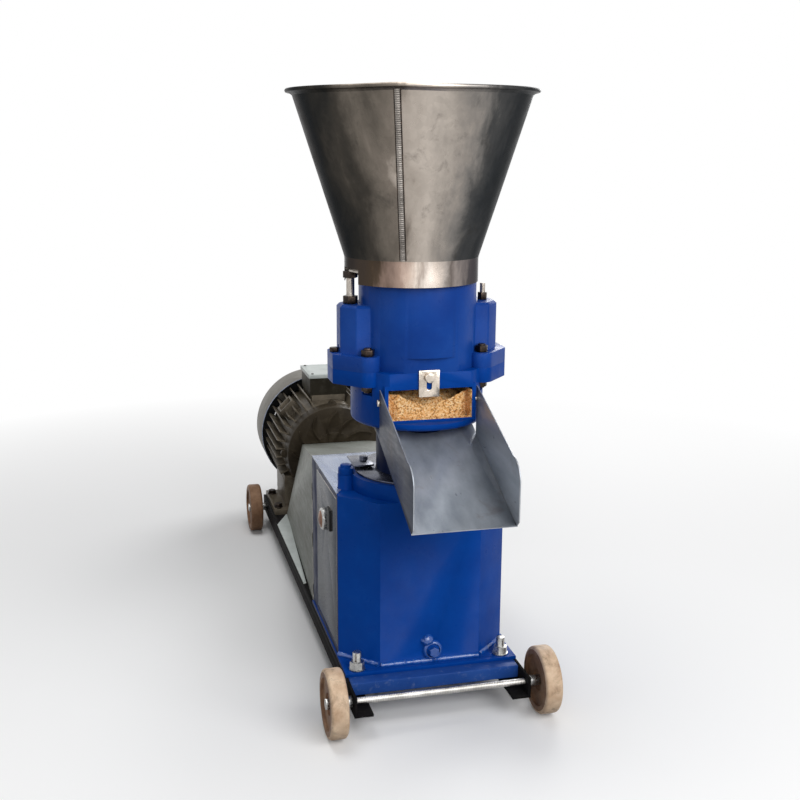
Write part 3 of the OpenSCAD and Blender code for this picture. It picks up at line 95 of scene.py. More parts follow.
def seenRays(tree):
    # 1 for rays from the camera, a mirror or glass, 0 for scattered ones
    rays = addNode(tree, "LightPath")
    direct = {0: rays.outputs["Is Camera Ray"], 1: rays.outputs["Is Glossy Ray"]}
    straight = addNode(tree, "Math", {"operation": "MAXIMUM"}, direct).outputs[0]
    either = {0: straight, 1: rays.outputs["Is Transmission Ray"]}
    return addNode(tree, "Math", {"operation": "MAXIMUM"}, either).outputs[0]


def shaded(tree, colour, rough, height, strength, distance, sockets):
    # the shader at the end of a material: colour and roughness come from nodes, the rest are plain numbers
    bump = addNode(tree, "Bump", {"Strength": strength, "Distance": distance}, {"Height": height})
    links = {"Base Color": colour, "Roughness": rough, "Normal": bump.outputs["Normal"]}
    shader = addNode(tree, "BsdfPrincipled", sockets, links)
    addNode(tree, "OutputMaterial", {}, {"Surface": shader.outputs["BSDF"]})


def mottled(tree, vector, settings, low, high):
    # two tones in clouds; low and high each hold a share of the noise and an sRGB hex
    cloud = addNode(tree, "TexNoise", settings, {"Vector": vector})
    stops = [(share, linear(tone)) for share, tone in (low, high)]
    return addNode(tree, "ValToRGB", {}, {"Fac": cloud.outputs["Fac"]}, stops).outputs["Color"]


def dirtied(tree, vector, settings, clean, dirt, amount, start, end):
    # dirt over a colour: none where the noise is below start, the full amount above end
    patch = addNode(tree, "TexNoise", settings, {"Vector": vector})
    stops = [(start, grey(0.0)), (end, grey(amount))]
    mask = addNode(tree, "ValToRGB", {}, {"Fac": patch.outputs["Fac"]}, stops)
    colours = {0: mask.outputs["Color"], 6: clean}
    return addNode(tree, "Mix", {"data_type": "RGBA", 7: linear(dirt)}, colours).outputs[2]


def spangled(tree, vector, sheet, amount):
    # zinc flowers of about 10 mm, each a little darker or lighter, over the sheet's colour
    flowers = addNode(tree, "TexVoronoi", {"Scale": 95.0}, {"Vector": vector})
    tone = addNode(tree, "SeparateColor", {}, {"Color": flowers.outputs["Color"]})
    stops = [(0.0, grey(0.55)), (1.0, grey(1.0))]
    flowerTone = addNode(tree, "ValToRGB", {}, {"Fac": tone.outputs[0]}, stops)
    settings = {"data_type": "RGBA", "blend_type": "MULTIPLY", 0: amount}
    return addNode(tree, "Mix", settings, {6: sheet, 7: flowerTone.outputs["Color"]}).outputs[2]


def enamel(name, body, shade, dust, rough, dustAmount, shine=0.06):
    # brushed machine enamel over cast iron: gloss with orange peel of about 2.5 mm, sand casting of about
    # 8 mm, dust and dulled patches
    material, tree = newMaterial(name)
    place = addNode(tree, "TexCoord").outputs["Object"]
    cloud = {"Scale": 9.0, "Detail": 5.0, "Roughness": 0.6}
    base = mottled(tree, place, cloud, (0.32, shade), (0.68, body))
    speck = {"Scale": 60.0, "Detail": 6.0, "Roughness": 0.7, "Distortion": 0.4}
    dusty = dirtied(tree, place, speck, base, dust, dustAmount, 0.56, 0.78)
    dull = addNode(tree, "TexNoise", {"Scale": 25.0, "Detail": 5.0, "Roughness": 0.65}, {"Vector": place})
    span = {"From Min": 0.3, "From Max": 0.75, "To Min": rough - 0.06, "To Max": rough + 0.2}
    gloss = addNode(tree, "MapRange", span, {"Value": dull.outputs["Fac"]})
    peel = addNode(tree, "TexNoise", {"Scale": 420.0, "Detail": 2.0, "Roughness": 0.5}, {"Vector": place})
    sand = addNode(tree, "TexNoise", {"Scale": 120.0, "Detail": 3.0, "Roughness": 0.5}, {"Vector": place})
    height = addNode(tree, "Math", {"operation": "MULTIPLY_ADD", 1: 0.35},
                     {0: peel.outputs["Fac"], 2: sand.outputs["Fac"]})
    shaded(tree, dusty, gloss.outputs[0], height.outputs[0], 0.3, 0.0005, {"Specular IOR Level": shine})
    return material


def sheetMetal(name, light, darkTone, stain, streak, rough, spangle, stainLow, metallic=0.85):
    # rolled sheet: soft bands in the rolling direction, zinc flowers, hand-rolling waves of about 90 mm,
    # handling stains
    material, tree = newMaterial(name)
    place = addNode(tree, "TexCoord").outputs["Object"]
    along = addNode(tree, "Mapping", {"Scale": streak}, {"Vector": place}).outputs["Vector"]
    bands = {"Scale": 5.0, "Detail": 5.0, "Roughness": 0.6}
    base = mottled(tree, along, bands, (0.3, darkTone), (0.7, light))
    zinc = spangled(tree, place, base, spangle)
    marks = {"Scale": 14.0, "Detail": 7.0, "Roughness": 0.68, "Distortion": 0.6}
    stained = dirtied(tree, place, marks, zinc, stain, 0.55, stainLow, stainLow + 0.2)
    wear = addNode(tree, "TexNoise", {"Scale": 22.0, "Detail": 5.0, "Roughness": 0.7}, {"Vector": along})
    span = {"From Min": 0.3, "From Max": 0.75, "To Min": rough - 0.08, "To Max": rough + 0.16}
    gloss = addNode(tree, "MapRange", span, {"Value": wear.outputs["Fac"]})
    waves = addNode(tree, "TexNoise", {"Scale": 11.0, "Detail": 2.0, "Roughness": 0.4}, {"Vector": place})
    grain = addNode(tree, "TexNoise", {"Scale": 160.0, "Detail": 2.0}, {"Vector": along})
    height = addNode(tree, "Math", {"operation": "MULTIPLY_ADD", 1: 45.0},
                     {0: waves.outputs["Fac"], 2: grain.outputs["Fac"]})
    shaded(tree, stained, gloss.outputs[0], height.outputs[0], 0.3, 0.0001,
           {"Metallic": metallic, "Specular IOR Level": 0.2})
    return material


def reflectionPaintedSheet(name, centre, bands, rough, spangle, stain, stainLow):
    # hand-rolled sheet round an upright axis: painted reflections in light and dark bands by angle, zinc
    # flowers, waves of about 90 mm, stains
    material, tree = newMaterial(name)
    place = addNode(tree, "TexCoord").outputs["Object"]
    centred = addNode(tree, "Mapping", {"Location": centre}, {"Vector": place}).outputs["Vector"]
    around = addNode(tree, "TexGradient", {"gradient_type": "RADIAL"}, {"Vector": centred})
    upright = addNode(tree, "Mapping", {"Scale": (1.0, 1.0, 0.45)}, {"Vector": centred}).outputs["Vector"]
    waver = addNode(tree, "TexNoise", {"Scale": 12.0, "Detail": 5.0, "Roughness": 0.62, "Distortion": 0.3},
                    {"Vector": upright})
    shift = addNode(tree, "Math", {"operation": "MULTIPLY_ADD", 1: 0.17, 2: -0.085},
                    {0: waver.outputs["Fac"]})
    wavy = addNode(tree, "Math", {"operation": "ADD"}, {0: around.outputs["Fac"], 1: shift.outputs[0]})
    # the ramp paints the reflections: light and dark bands by angle round the axis
    stops = [(share, linear(tone)) for share, tone in bands]
    base = addNode(tree, "ValToRGB", {}, {"Fac": wavy.outputs[0]}, stops)
    zinc = spangled(tree, place, base.outputs["Color"], spangle)
    marks = {"Scale": 20.0, "Detail": 7.0, "Roughness": 0.7, "Distortion": 0.5}
    stained = dirtied(tree, place, marks, zinc, stain, 0.5, stainLow, stainLow + 0.16)
    wear = addNode(tree, "TexNoise", marks, {"Vector": place})
    span = {"From Min": 0.3, "From Max": 0.75, "To Min": rough - 0.06, "To Max": rough + 0.14}
    gloss = addNode(tree, "MapRange", span, {"Value": wear.outputs["Fac"]})
    waves = addNode(tree, "TexNoise", {"Scale": 11.0, "Detail": 2.0, "Roughness": 0.4}, {"Vector": place})
    grain = addNode(tree, "TexNoise", {"Scale": 170.0, "Detail": 2.0}, {"Vector": upright})
    height = addNode(tree, "Math", {"operation": "MULTIPLY_ADD", 1: 30.0},
                     {0: waves.outputs["Fac"], 2: grain.outputs["Fac"]})
    shaded(tree, stained, gloss.outputs[0], height.outputs[0], 0.25, 0.0001,
           {"Metallic": 1.0, "Specular Tint": grey(0.5)})
    return material


def solidMetal(name, light, darkTone, rough, metallic, dirt, dirtAmount):
    # turned, ground or blackened steel: tool marks of about 3 mm, oil and meal dirt in patches of about 15 mm
    material, tree = newMaterial(name)
    place = addNode(tree, "TexCoord").outputs["Object"]
    cloud = {"Scale": 35.0, "Detail": 5.0, "Roughness": 0.65}
    base = mottled(tree, place, cloud, (0.3, darkTone), (0.7, light))
    patch = {"Scale": 70.0, "Detail": 6.0, "Roughness": 0.7, "Distortion": 0.5}
    dirty = dirtied(tree, place, patch, base, dirt, dirtAmount, 0.5, 0.72)
    marks = addNode(tree, "TexNoise", {"Scale": 300.0, "Detail": 3.0, "Roughness": 0.6}, {"Vector": place})
    span = {"From Min": 0.3, "From Max": 0.7, "To Min": rough - 0.08, "To Max": rough + 0.12}
    gloss = addNode(tree, "MapRange", span, {"Value": marks.outputs["Fac"]})
    shaded(tree, dirty, gloss.outputs[0], marks.outputs["Fac"], 0.15, 0.0003, {"Metallic": metallic})
    return material


def dullPaint(name, body, shade, dust, rough, dustAmount, metallic, dustScale, shine=0.12):
    # thin satin paint, dusty in patches
    material, tree = newMaterial(name)
    place = addNode(tree, "TexCoord").outputs["Object"]
    cloud = {"Scale": 12.0, "Detail": 5.0, "Roughness": 0.6}
    base = mottled(tree, place, cloud, (0.3, shade), (0.7, body))
    speck = {"Scale": dustScale, "Detail": 7.0, "Roughness": 0.7, "Distortion": 0.3}
    dusty = dirtied(tree, place, speck, base, dust, dustAmount, 0.5, 0.75)
    texture = addNode(tree, "TexNoise", {"Scale": 260.0, "Detail": 3.0, "Roughness": 0.6}, {"Vector": place})
    span = {"From Min": 0.2, "From Max": 0.8, "To Min": rough - 0.08, "To Max": rough + 0.12}
    gloss = addNode(tree, "MapRange", span, {"Value": texture.outputs["Fac"]})
    shaded(tree, dusty, gloss.outputs[0], texture.outputs["Fac"], 0.25, 0.0005,
           {"Metallic": metallic, "Specular IOR Level": shine})
    return material


def nylonWheel(name, light, darkTone, smearLow):
    # cast cream nylon: slightly waxy, brown floor dirt rubbed into the tread
    material, tree = newMaterial(name)
    place = addNode(tree, "TexCoord").outputs["Object"]
    cloud = {"Scale": 30.0, "Detail": 5.0, "Roughness": 0.6}
    base = mottled(tree, place, cloud, (0.3, darkTone), (0.7, light))
    smear = {"Scale": 22.0, "Detail": 7.0, "Roughness": 0.72, "Distortion": 0.8}
    smeared = dirtied(tree, place, smear, base, "7a5a44", 0.85, smearLow, smearLow + 0.24)
    scuff = {"Scale": 48.0, "Detail": 8.0, "Roughness": 0.75, "Distortion": 1.2}
    scuffed = dirtied(tree, place, scuff, smeared, "4c3a2c", 0.6, 0.57, 0.72)
    wear = addNode(tree, "TexNoise", {"Scale": 80.0, "Detail": 4.0, "Roughness": 0.6}, {"Vector": place})
    span = {"From Min": 0.3, "From Max": 0.7, "To Min": 0.42, "To Max": 0.62}
    gloss = addNode(tree, "MapRange", span, {"Value": wear.outputs["Fac"]})
    pits = addNode(tree, "TexNoise", {"Scale": 180.0, "Detail": 5.0, "Roughness": 0.7}, {"Vector": place})
    waxy = {"Specular IOR Level": 0.2, "Subsurface Weight": 0.05, "Subsurface Radius": (0.004, 0.003, 0.002)}
    shaded(tree, scuffed, gloss.outputs[0], pits.outputs["Fac"], 0.35, 0.0006, waxy)
    return material


def feedMeal(name):
    # ground feed and broken pellets: golden bran grains of about 2.5 mm with darker husks
    material, tree = newMaterial(name)
    place = addNode(tree, "TexCoord").outputs["Object"]
    grains = addNode(tree, "TexVoronoi", {"Scale": 420.0}, {"Vector": place})
    tone = addNode(tree, "SeparateColor", {}, {"Color": grains.outputs["Color"]})
    stops = [(0.0, linear("a66c38")), (1.0, linear("ffdfae")), (0.4, linear("f0b46c"))]
    base = addNode(tree, "ValToRGB", {}, {"Fac": tone.outputs[0]}, stops)
    lumps = addNode(tree, "TexNoise", {"Scale": 160.0, "Detail": 5.0, "Roughness": 0.7}, {"Vector": place})
    damp = {"Scale": 28.0, "Detail": 3.0}
    mixed = dirtied(tree, place, damp, base.outputs["Color"], "d08e52", 0.5, 0.5, 0.7)
    dry = addNode(tree, "MapRange", {"To Min": 0.8, "To Max": 0.97}, {"Value": lumps.outputs["Fac"]})
    height = addNode(tree, "Math", {"operation": "ADD"},
                     {0: grains.outputs["Distance"], 1: lumps.outputs["Fac"]})
    shaded(tree, mixed, dry.outputs[0], height.outputs[0], 0.8, 0.0015, {"Specular IOR Level": 0.25})
    return material


def oilGlass(name):
    # amber oil behind a domed window
    material, tree = newMaterial(name)
    place = addNode(tree, "TexCoord").outputs["Object"]
    cloud = addNode(tree, "TexNoise", {"Scale": 40.0, "Detail": 3.0}, {"Vector": place})
    base = addNode(tree, "ValToRGB", {}, {"Fac": cloud.outputs["Fac"]},
                   [(0.35, linear("8f6450")), (0.7, linear("e2b9a0"))])
    gloss = addNode(tree, "MapRange", {"To Min": 0.05, "To Max": 0.14}, {"Value": cloud.outputs["Fac"]})
    shaded(tree, base.outputs["Color"], gloss.outputs[0], cloud.outputs["Fac"], 0.1, 0.0005,
           {"Specular IOR Level": 0.06, "Coat Weight": 0.08, "Coat Roughness": 0.05})
    return material


def threadedRod(name, light, darkTone, direction, pitchScale):
    # zinc plated rod or screw, with painted light and shade of the thread's ridges in lines across it
    material, tree = newMaterial(name)
    place = addNode(tree, "TexCoord").outputs["Object"]
    thread = {"wave_type": "BANDS", "bands_direction": direction, "Scale": pitchScale, "Distortion": 0.0}
    lines = addNode(tree, "TexWave", thread, {"Vector": place})
    cloud = addNode(tree, "TexNoise", {"Scale": 30.0, "Detail": 4.0, "Roughness": 0.6}, {"Vector": place})
    base = addNode(tree, "ValToRGB", {}, {"Fac": cloud.outputs["Fac"]},
                   [(0.3, linear(darkTone)), (0.7, linear(light))])
    # painted shade in the thread's grooves: the lines darken the colour
    threadShade = addNode(tree, "ValToRGB", {}, {"Fac": lines.outputs["Fac"]},
                      [(0.1, grey(0.35)), (0.6, grey(1.0))])
    colour = addNode(tree, "Mix", {"data_type": "RGBA", "blend_type": "MULTIPLY", 0: 0.4},
                     {6: base.outputs["Color"], 7: threadShade.outputs["Color"]})
    gloss = addNode(tree, "MapRange", {"To Min": 0.22, "To Max": 0.42}, {"Value": cloud.outputs["Fac"]})
    shaded(tree, colour.outputs[2], gloss.outputs[0], lines.outputs["Fac"], 0.5, 0.0008, {"Metallic": 1.0})
    return material


# painted reflections: light and dark bands at shares of a turn round the hopper's axis; the photographed side
# is near 0.21
conePaintedReflections = [
    (0.0, "2a2828"), (0.03, "202224"), (0.075, "2d2c2a"), (0.11, "403c37"), (0.15, "665f57"),
    (0.18, "7c736a"), (0.2, "a89e94"), (0.235, "bab0a6"), (0.27, "9c948c"), (0.3, "7c7874"),
    (0.33, "4a4a4a"), (0.37, "343638"), (0.42, "26292b"), (0.46, "3a3c3f"), (0.56, "8f8a85"),
    (0.65, "403f3d"), (0.75, "9a928a"), (0.85, "4c4945"), (0.93, "705e5d"), (0.96, "3a3032"),
    (1.0, "2a2828"),
]
collarPaintedReflections = [
    (0.0, "2b2828"), (0.06, "3a3431"), (0.115, "44392f"), (0.145, "7d6a60"), (0.18, "a68f82"),
    (0.2, "cbb8aa"), (0.215, "e8dacd"), (0.232, "b5a79c"), (0.247, "f2e6db"), (0.275, "d8cabe"),
    (0.3, "aaa19a"), (0.318, "6b625d"), (0.335, "968c87"), (0.365, "524e50"), (0.43, "434044"),
    (0.5, "8a837d"), (0.6, "d5c8bc"), (0.7, "5a5552"), (0.8, "cfc4b8"), (0.92, "5a524e"),
    (1.0, "2b2828"),
]
# each finish: colours as sRGB hex, the numbers in the order of the function's parameters
finish = {
    "blueEnamel": enamel("blueEnamel", "04439a", "03398a", "2f55a0", 0.3, 0.15),
    "chamberEnamel": enamel("chamberEnamel", "17489c", "113b8a", "3f62a8", 0.3, 0.15, 0.1),
    # a lighter, glossier copy of the blue enamel: the lighter colour is a painted highlight on the welds
    "weldEnamelPaintedHighlight": enamel("weldEnamelPaintedHighlight", "1b55a8", "0d4596", "6f87b8", 0.14, 0.2, 0.9),
    "beamEnamel": enamel("rubbedEnamel", "2a5098", "1b3f84", "7f8eb0", 0.3, 0.45),
    # dark navy enamel; also used as painted shade on the gearbox's left side and on the neck
    "navyEnamelAndPaintedShade": enamel("navyEnamelAndPaintedShade", "08173c", "050f2a", "1f2a46", 0.34, 0.3),
    # the cone's and the collar's light and dark bands are painted reflections
    "coneZinc": reflectionPaintedSheet("galvanisedConePaintedReflections", (0, 0.4295, 0), conePaintedReflections, 0.3, 0.2, "34322f", 0.56),
    "collarZinc": reflectionPaintedSheet("polishedCollarPaintedReflections", (0, 0.4295, 0), collarPaintedReflections, 0.18, 0.08, "4c4641", 0.68),
    "seatSteel": sheetMetal("seatSteel", "b9b2aa", "8f8880", "4c4641", (14.0, 14.0, 0.5), 0.3, 0.1, 0.62),
    "innerZinc": sheetMetal("innerSheet", "b4b0aa", "8b8782", "55504a", (14.0, 14.0, 1.0), 0.36, 0.12,
                            0.62, 0.4),
    "seamZinc": sheetMetal("seamZinc", "96908a", "67625d", "4a4641", (14.0, 14.0, 4.0), 0.28, 0.1, 0.62),
    "chuteSteel": sheetMetal("coldRolledSheet", "b4bac2", "8f969f", "6b4a35", (5.0, 1.0, 5.0), 0.34, 0.05,
                             0.57, 0.4),
    # painted shade: a darker copy of the chute's sheet for the left wall's outer face, with stains
    "chuteOuterPaintedShade": sheetMetal("stainedSheetAndPaintedShade", "454b5a", "242835", "42301f", (5.0, 1.0, 5.0), 0.36, 0.0,
                             0.56, 0.3),
    "hoodSteel": sheetMetal("hoodSheet", "7b7f79", "61625b", "564b40", (5.0, 0.8, 5.0), 0.42, 0.04, 0.58,
                            0.15),
    # painted reflection: a pale lavender-blue sheet for the plate over the gearbox and the cowl's rim
    "lipSteel": sheetMetal("plateWithPaintedReflection", "b0bad0", "929db6", "6d758a", (5.0, 1.0, 5.0), 0.24, 0.0, 0.6,
                           0.45),
    "coverSteel": dullPaint("groundCover", "50555e", "3a3e45", "2a2825", 0.28, 0.4, 0.5, 14.0, 0.05),
    "ringSteel": sheetMetal("ringSteel", "6d7080", "3e414c", "2a2927", (6.0, 6.0, 6.0), 0.2, 0.0, 0.6, 0.8),
    "machined": solidMetal("machinedSteel", "c9c9c6", "8d8d8c", 0.28, 1.0, "5a4c3c", 0.35),
    "bright": solidMetal("zincPlated", "eaded0", "b4aa9e", 0.2, 0.9, "8a7866", 0.2),
    "blackened": solidMetal("blackenedSteel", "3a312c", "1b1817", 0.3, 0.9, "6b5646", 0.45),
    "iron": solidMetal("greyIron", "6a6a6a", "454545", 0.55, 0.8, "4a3b2e", 0.5),
    "railPaint": dullPaint("railPaint", "1b191a", "101010", "46423d", 0.6, 0.25, 0.0, 40.0, 0.03),
    "motorCast": dullPaint("motorCasting", "6e6557", "423b31", "8c8474", 0.36, 0.4, 0.15, 40.0),
    "motorShield": dullPaint("motorShieldPaint", "3a3226", "211b13", "5a5142", 0.38, 0.35, 0.1, 40.0),
    "cowlPaint": dullPaint("cowlPaint", "918d86", "6f6b64", "4f4b45", 0.36, 0.4, 0.2, 18.0),
    # pale lid paint; also a painted highlight on the hood's foot lip
    "lidSheet": dullPaint("lidPaint", "ccd2cf", "b5bcb9", "85878a", 0.32, 0.25, 0.1, 20.0),
    "boxPaint": dullPaint("terminalBoxPaint", "3d3930", "26231d", "6a675e", 0.4, 0.35, 0.1, 40.0),
    "nylon": nylonWheel("castNylon", "ecd3b6", "bf9f82", 0.52),
    "nylonFace": nylonWheel("darkNylonFace", "a07d60", "64493a", 0.46),
    # painted shade: a darker copy of the cast nylon for the rear wheels
    "rearNylonPaintedShade": nylonWheel("rearNylonPaintedShade", "a07e62", "6f503a", 0.48),
    "meal": feedMeal("feedMeal"),
    "oil": oilGlass("oilWindow"),
    "rod": threadedRod("threadedRod", "efece6", "a9a6a0", "X", 100.0),
    "thread": threadedRod("screwThread", "e4dcd2", "978d82", "Z", 170.0),
    "rubber": dullPaint("redRubber", "8a2018", "611410", "8a6a5a", 0.6, 0.3, 0.0, 40.0),
    "plastic": dullPaint("blackPlastic", "1d1d1e", "121213", "4a4a48", 0.45, 0.3, 0.0, 40.0),
}
print("materials made:", len(finish))


# lengths in metres and an angle in radians below which points and faces count as one
tolerance = {"cadMerge": 0.00001, "latheMerge": 0.000005, "step": 1e-9, "leastR": 0.0001, "flat": radians(0.6)}
# edges sharper than this angle are rounded
rounding = {"segments": 2, "angle": radians(32)}


def dropSelection():
    if bpy.context.object and bpy.context.object.mode != "OBJECT":
        bpy.ops.object.mode_set(mode="OBJECT")
    bpy.ops.object.select_all(action="DESELECT")


def pick(piece):
    dropSelection()
    piece.select_set(True)
    bpy.context.view_layer.objects.active = piece


def applyModifiers(piece):
    pick(piece)
    for modifier in list(piece.modifiers):
        bpy.ops.object.modifier_apply(modifier=modifier.name)


def roundEdges(piece, width):
    edge = piece.modifiers.new("edge", "BEVEL")
    edge.width, edge.segments = width, rounding["segments"]
    edge.limit_method, edge.angle_limit = "ANGLE", rounding["angle"]
    applyModifiers(piece)


def smoothAt(piece, angle=34):
    pick(piece)
    bpy.ops.object.shade_smooth_by_angle(angle=radians(angle))


def settle(piece, name, body, material, hides=()):
    # place goes into the mesh, then name, finish and body
    pick(piece)
    bpy.ops.object.transform_apply(location=True, rotation=True, scale=True)
    piece.name = name
    if material:
        piece.data.materials.clear()
        piece.data.materials.append(finish[material])
    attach(piece, body)
    if hides:
        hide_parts(*hides)
    return piece


def turned(profile, place, axis="Z", segments=96, closed=True):
    # a ring, extruded and scaled along a lathe profile of (radius, height) points in millimetres
    dropSelection()
    r0, z0 = profile[0]
    bpy.ops.mesh.primitive_circle_add(vertices=segments, radius=mm(r0), fill_type="NOTHING",
                                      location=(0, 0, mm(z0)))
    piece = bpy.context.object
    bpy.ops.object.mode_set(mode="EDIT")
    bpy.ops.mesh.select_all(action="SELECT")
    lastR, lastZ = r0, z0
    steps = list(profile[1:]) + ([profile[0]] if closed else [])
    for r, z in steps:
        bpy.ops.mesh.extrude_region_move(TRANSFORM_OT_translate={"value": (0, 0, mm(z - lastZ))})
        if abs(r - lastR) > tolerance["step"]:
            ratio = max(r, tolerance["leastR"]) / max(lastR, tolerance["leastR"])
            bpy.ops.transform.resize(value=(ratio, ratio, 1), center_override=(0, 0, mm(z)))
        lastR, lastZ = r, z
    bpy.ops.mesh.select_all(action="SELECT")
    bpy.ops.mesh.remove_doubles(threshold=tolerance["latheMerge"])
    bpy.ops.mesh.normals_make_consistent(inside=False)
    bpy.ops.object.mode_set(mode="OBJECT")
    bpy.ops.object.transform_apply(location=True, rotation=True, scale=True)
    quarter, about = {"Z": (0, "X"), "X": (1, "Y"), "Y": (-1, "X"), "-X": (-1, "Y"), "-Y": (1, "X")}[axis]
    piece.data.transform(Matrix.Translation(place) @ Matrix.Rotation(quarter * pi / 2, 4, about))
    return piece


def block(low, high):
    # a cube stretched between two corners, in millimetres from the die axis
    dropSelection()
    lo, hi = at(*low), at(*high)
    bpy.ops.mesh.primitive_cube_add(size=1, location=(lo + hi) / 2)
    piece = bpy.context.object
    piece.scale = hi - lo
    bpy.ops.object.transform_apply(location=True, rotation=True, scale=True)
    return piece


def joined(pieces):
    dropSelection()
    for piece in pieces:
        piece.select_set(True)
    bpy.context.view_layer.objects.active = pieces[0]
    if len(pieces) > 1:
        bpy.ops.object.join()
    return bpy.context.object


def softened(node, width):
    # the CAD node's own form, merged, with its edges rounded as a casting's or a folded sheet's are
    source = nodes[node]
    piece = bpy.data.objects.new(node + "Form", source.data.copy())
    bpy.context.scene.collection.objects.link(piece)
    pick(piece)
    bpy.ops.object.mode_set(mode="EDIT")
    bpy.ops.mesh.select_all(action="SELECT")
    bpy.ops.mesh.remove_doubles(threshold=tolerance["cadMerge"])
    bpy.ops.mesh.dissolve_limited(angle_limit=tolerance["flat"])
    bpy.ops.object.mode_set(mode="OBJECT")
    roundEdges(piece, width)
    smoothAt(piece)
    return piece


def bodyOf(node):
    for body, members in frame["record"]["behaviour"]["bodies"].items():
        if node in members:
            return body


def dressed(node, width, material):
    piece = softened(node, width)
    return settle(piece, node + "Form", bodyOf(node), material, (node,))


def faced(piece, material, low, high):
    # the faces whose middle lies between two corners (mm from the die axis) take another finish
    piece.data.materials.append(finish[material])
    slot = len(piece.data.materials) - 1
    lo, hi = at(*low), at(*high)
    for polygon in piece.data.polygons:
        if all(lo[i] <= polygon.center[i] <= hi[i] for i in range(3)):
            polygon.material_index = slot


def lumpy(point, rows):
    # height of uneven ground at a point: rows of noise scale, depth in metres and shift
    return sum(noise.noise(point * scale + Vector(shift)) * depth for scale, depth, shift in rows)


def turnAway(rel, degrees):
    # angle between a point and a direction, seen from above
    return abs((atan2(rel.y, rel.x) - radians(degrees) + pi) % (2 * pi) - pi)


def subdivided(piece, cuts):
    pick(piece)
    bpy.ops.object.mode_set(mode="EDIT")
    bpy.ops.mesh.select_all(action="SELECT")
    bpy.ops.mesh.subdivide(number_cuts=cuts)
    bpy.ops.object.mode_set(mode="OBJECT")


def hexHead(place, axis, across, height, washer):
    # chamfered hexagon head on a round washer
    r = across / sqrt(3)
    thick, slope, edge = 2.2, 0.6, 0.4
    chamferShares = {"side": 0.82, "top": 0.86, "dishOut": 0.5, "dishIn": 0.44}
    top, dish = thick + height, thick + height - 0.2
    disc = [(axisR, 0), (washer, 0), (washer, thick - slope), (washer - slope, thick), (axisR, thick)]
    head = [(axisR, thick), (r, thick), (r, thick + height * chamferShares["side"]),
            (r * chamferShares["top"], top)]
    head += [(r * chamferShares["dishOut"], top), (r * chamferShares["dishIn"], dish), (axisR, dish)]
    discPiece = turned(disc, place, axis, 40, False)
    headPiece = turned(head, place, axis, 6, False)
    roundEdges(headPiece, mm(edge))
    both = joined([discPiece, headPiece])
    smoothAt(both, 30)
    return both


camera = {"lens": 50.605, "sensor": 36, "nearest": 0.01, "yaw": radians(14.37), "pitch": radians(12.97),
          "roll": radians(0.32), "place": at(-542.383, -1992.586, 1040.081)}
forward = Vector((sin(camera["yaw"]) * cos(camera["pitch"]), cos(camera["yaw"]) * cos(camera["pitch"]),
                  -sin(camera["pitch"])))
right = Vector((cos(camera["yaw"]), -sin(camera["yaw"]), 0))
up = right.cross(forward)
rolledRight = right * cos(camera["roll"]) + up * sin(camera["roll"])
rolledUp = up * cos(camera["roll"]) - right * sin(camera["roll"])
cameraData = bpy.data.cameras.new("photoCamera")
cameraData.lens, cameraData.sensor_width = camera["lens"], camera["sensor"]
cameraData.clip_start = camera["nearest"]
cameraObject = bpy.data.objects.new("photoCamera", cameraData)
bpy.context.scene.collection.objects.link(cameraObject)
cameraObject.matrix_world = Matrix((rolledRight, rolledUp, -forward)).transposed().to_4x4()
cameraObject.location = camera["place"]
bpy.context.scene.camera = cameraObject

bpy.context.scene.view_settings.view_transform = "Standard"
studio = {"ambient": 0.15, "floor": 60, "fadeFrom": 0.6, "fadeTo": 2.2, "bounced": 0.3, "seen": 0.95}
world = bpy.data.worlds.new("studio")
bpy.context.scene.world = world
world.use_nodes = True
worldTree = world.node_tree
worldTree.nodes.clear()
seen = seenRays(worldTree)
ambient = addNode(worldTree, "Background", {"Color": linear("f4f6fa"), "Strength": studio["ambient"]})
backdrop = addNode(worldTree, "Background", {"Color": (1, 1, 1, 1), "Strength": 1.0})
mixWorld = addNode(worldTree, "MixShader", {}, {0: seen, 1: ambient.outputs[0], 2: backdrop.outputs[0]})
addNode(worldTree, "OutputWorld", {}, {"Surface": mixWorld.outputs[0]})

lamps = {
    # place in mm, target, size in m, power in W
    "key": ((1050, -2350, 2000), (0, 0, 600), 2.6, 64),
    "front": ((-900, -2700, 1500), (0, 0, 500), 1.6, 16),
    "fill": ((-2300, -900, 1300), (0, 300, 400), 1.8, 5),
    "top": ((-300, 400, 2900), (0, 300, 300), 1.6, 30),
    "rear": ((1500, 2300, 1700), (0, 500, 400), 1.4, 26),
}
for lampName, (place, target, size, power) in lamps.items():
    lampData = bpy.data.lights.new(lampName, "AREA")
    lampData.shape, lampData.size, lampData.energy = "DISK", size, power
    lamp = bpy.data.objects.new(lampName, lampData)
    bpy.context.scene.collection.objects.link(lamp)
    lamp.location = at(*place)
    lamp.rotation_mode = "QUATERNION"
    lamp.rotation_quaternion = (at(*target) - at(*place)).to_track_quat("-Z", "Y")

dropSelection()
bpy.ops.mesh.primitive_plane_add(size=studio["floor"], location=(0, 0, 0))
floor = bpy.context.object
floor.name = "floor"
floorMaterial, floorTree = newMaterial("paleFloor")
floorPlace = addNode(floorTree, "TexCoord").outputs["Object"]
distance = addNode(floorTree, "VectorMath", {"operation": "LENGTH"}, {0: floorPlace}).outputs["Value"]
farAway = addNode(floorTree, "MapRange", {"From Min": studio["fadeFrom"], "From Max": studio["fadeTo"]},
                  {"Value": distance}).outputs["Result"]
floorSeen = seenRays(floorTree)
whiteFactor = addNode(floorTree, "Math", {"operation": "MULTIPLY"}, {0: farAway, 1: floorSeen}).outputs[0]
tones = {"data_type": "RGBA", 6: grey(studio["bounced"]), 7: grey(studio["seen"])}
floorColour = addNode(floorTree, "Mix", tones, {0: floorSeen})
floorShader = addNode(floorTree, "BsdfDiffuse", {}, {"Color": floorColour.outputs[2]})
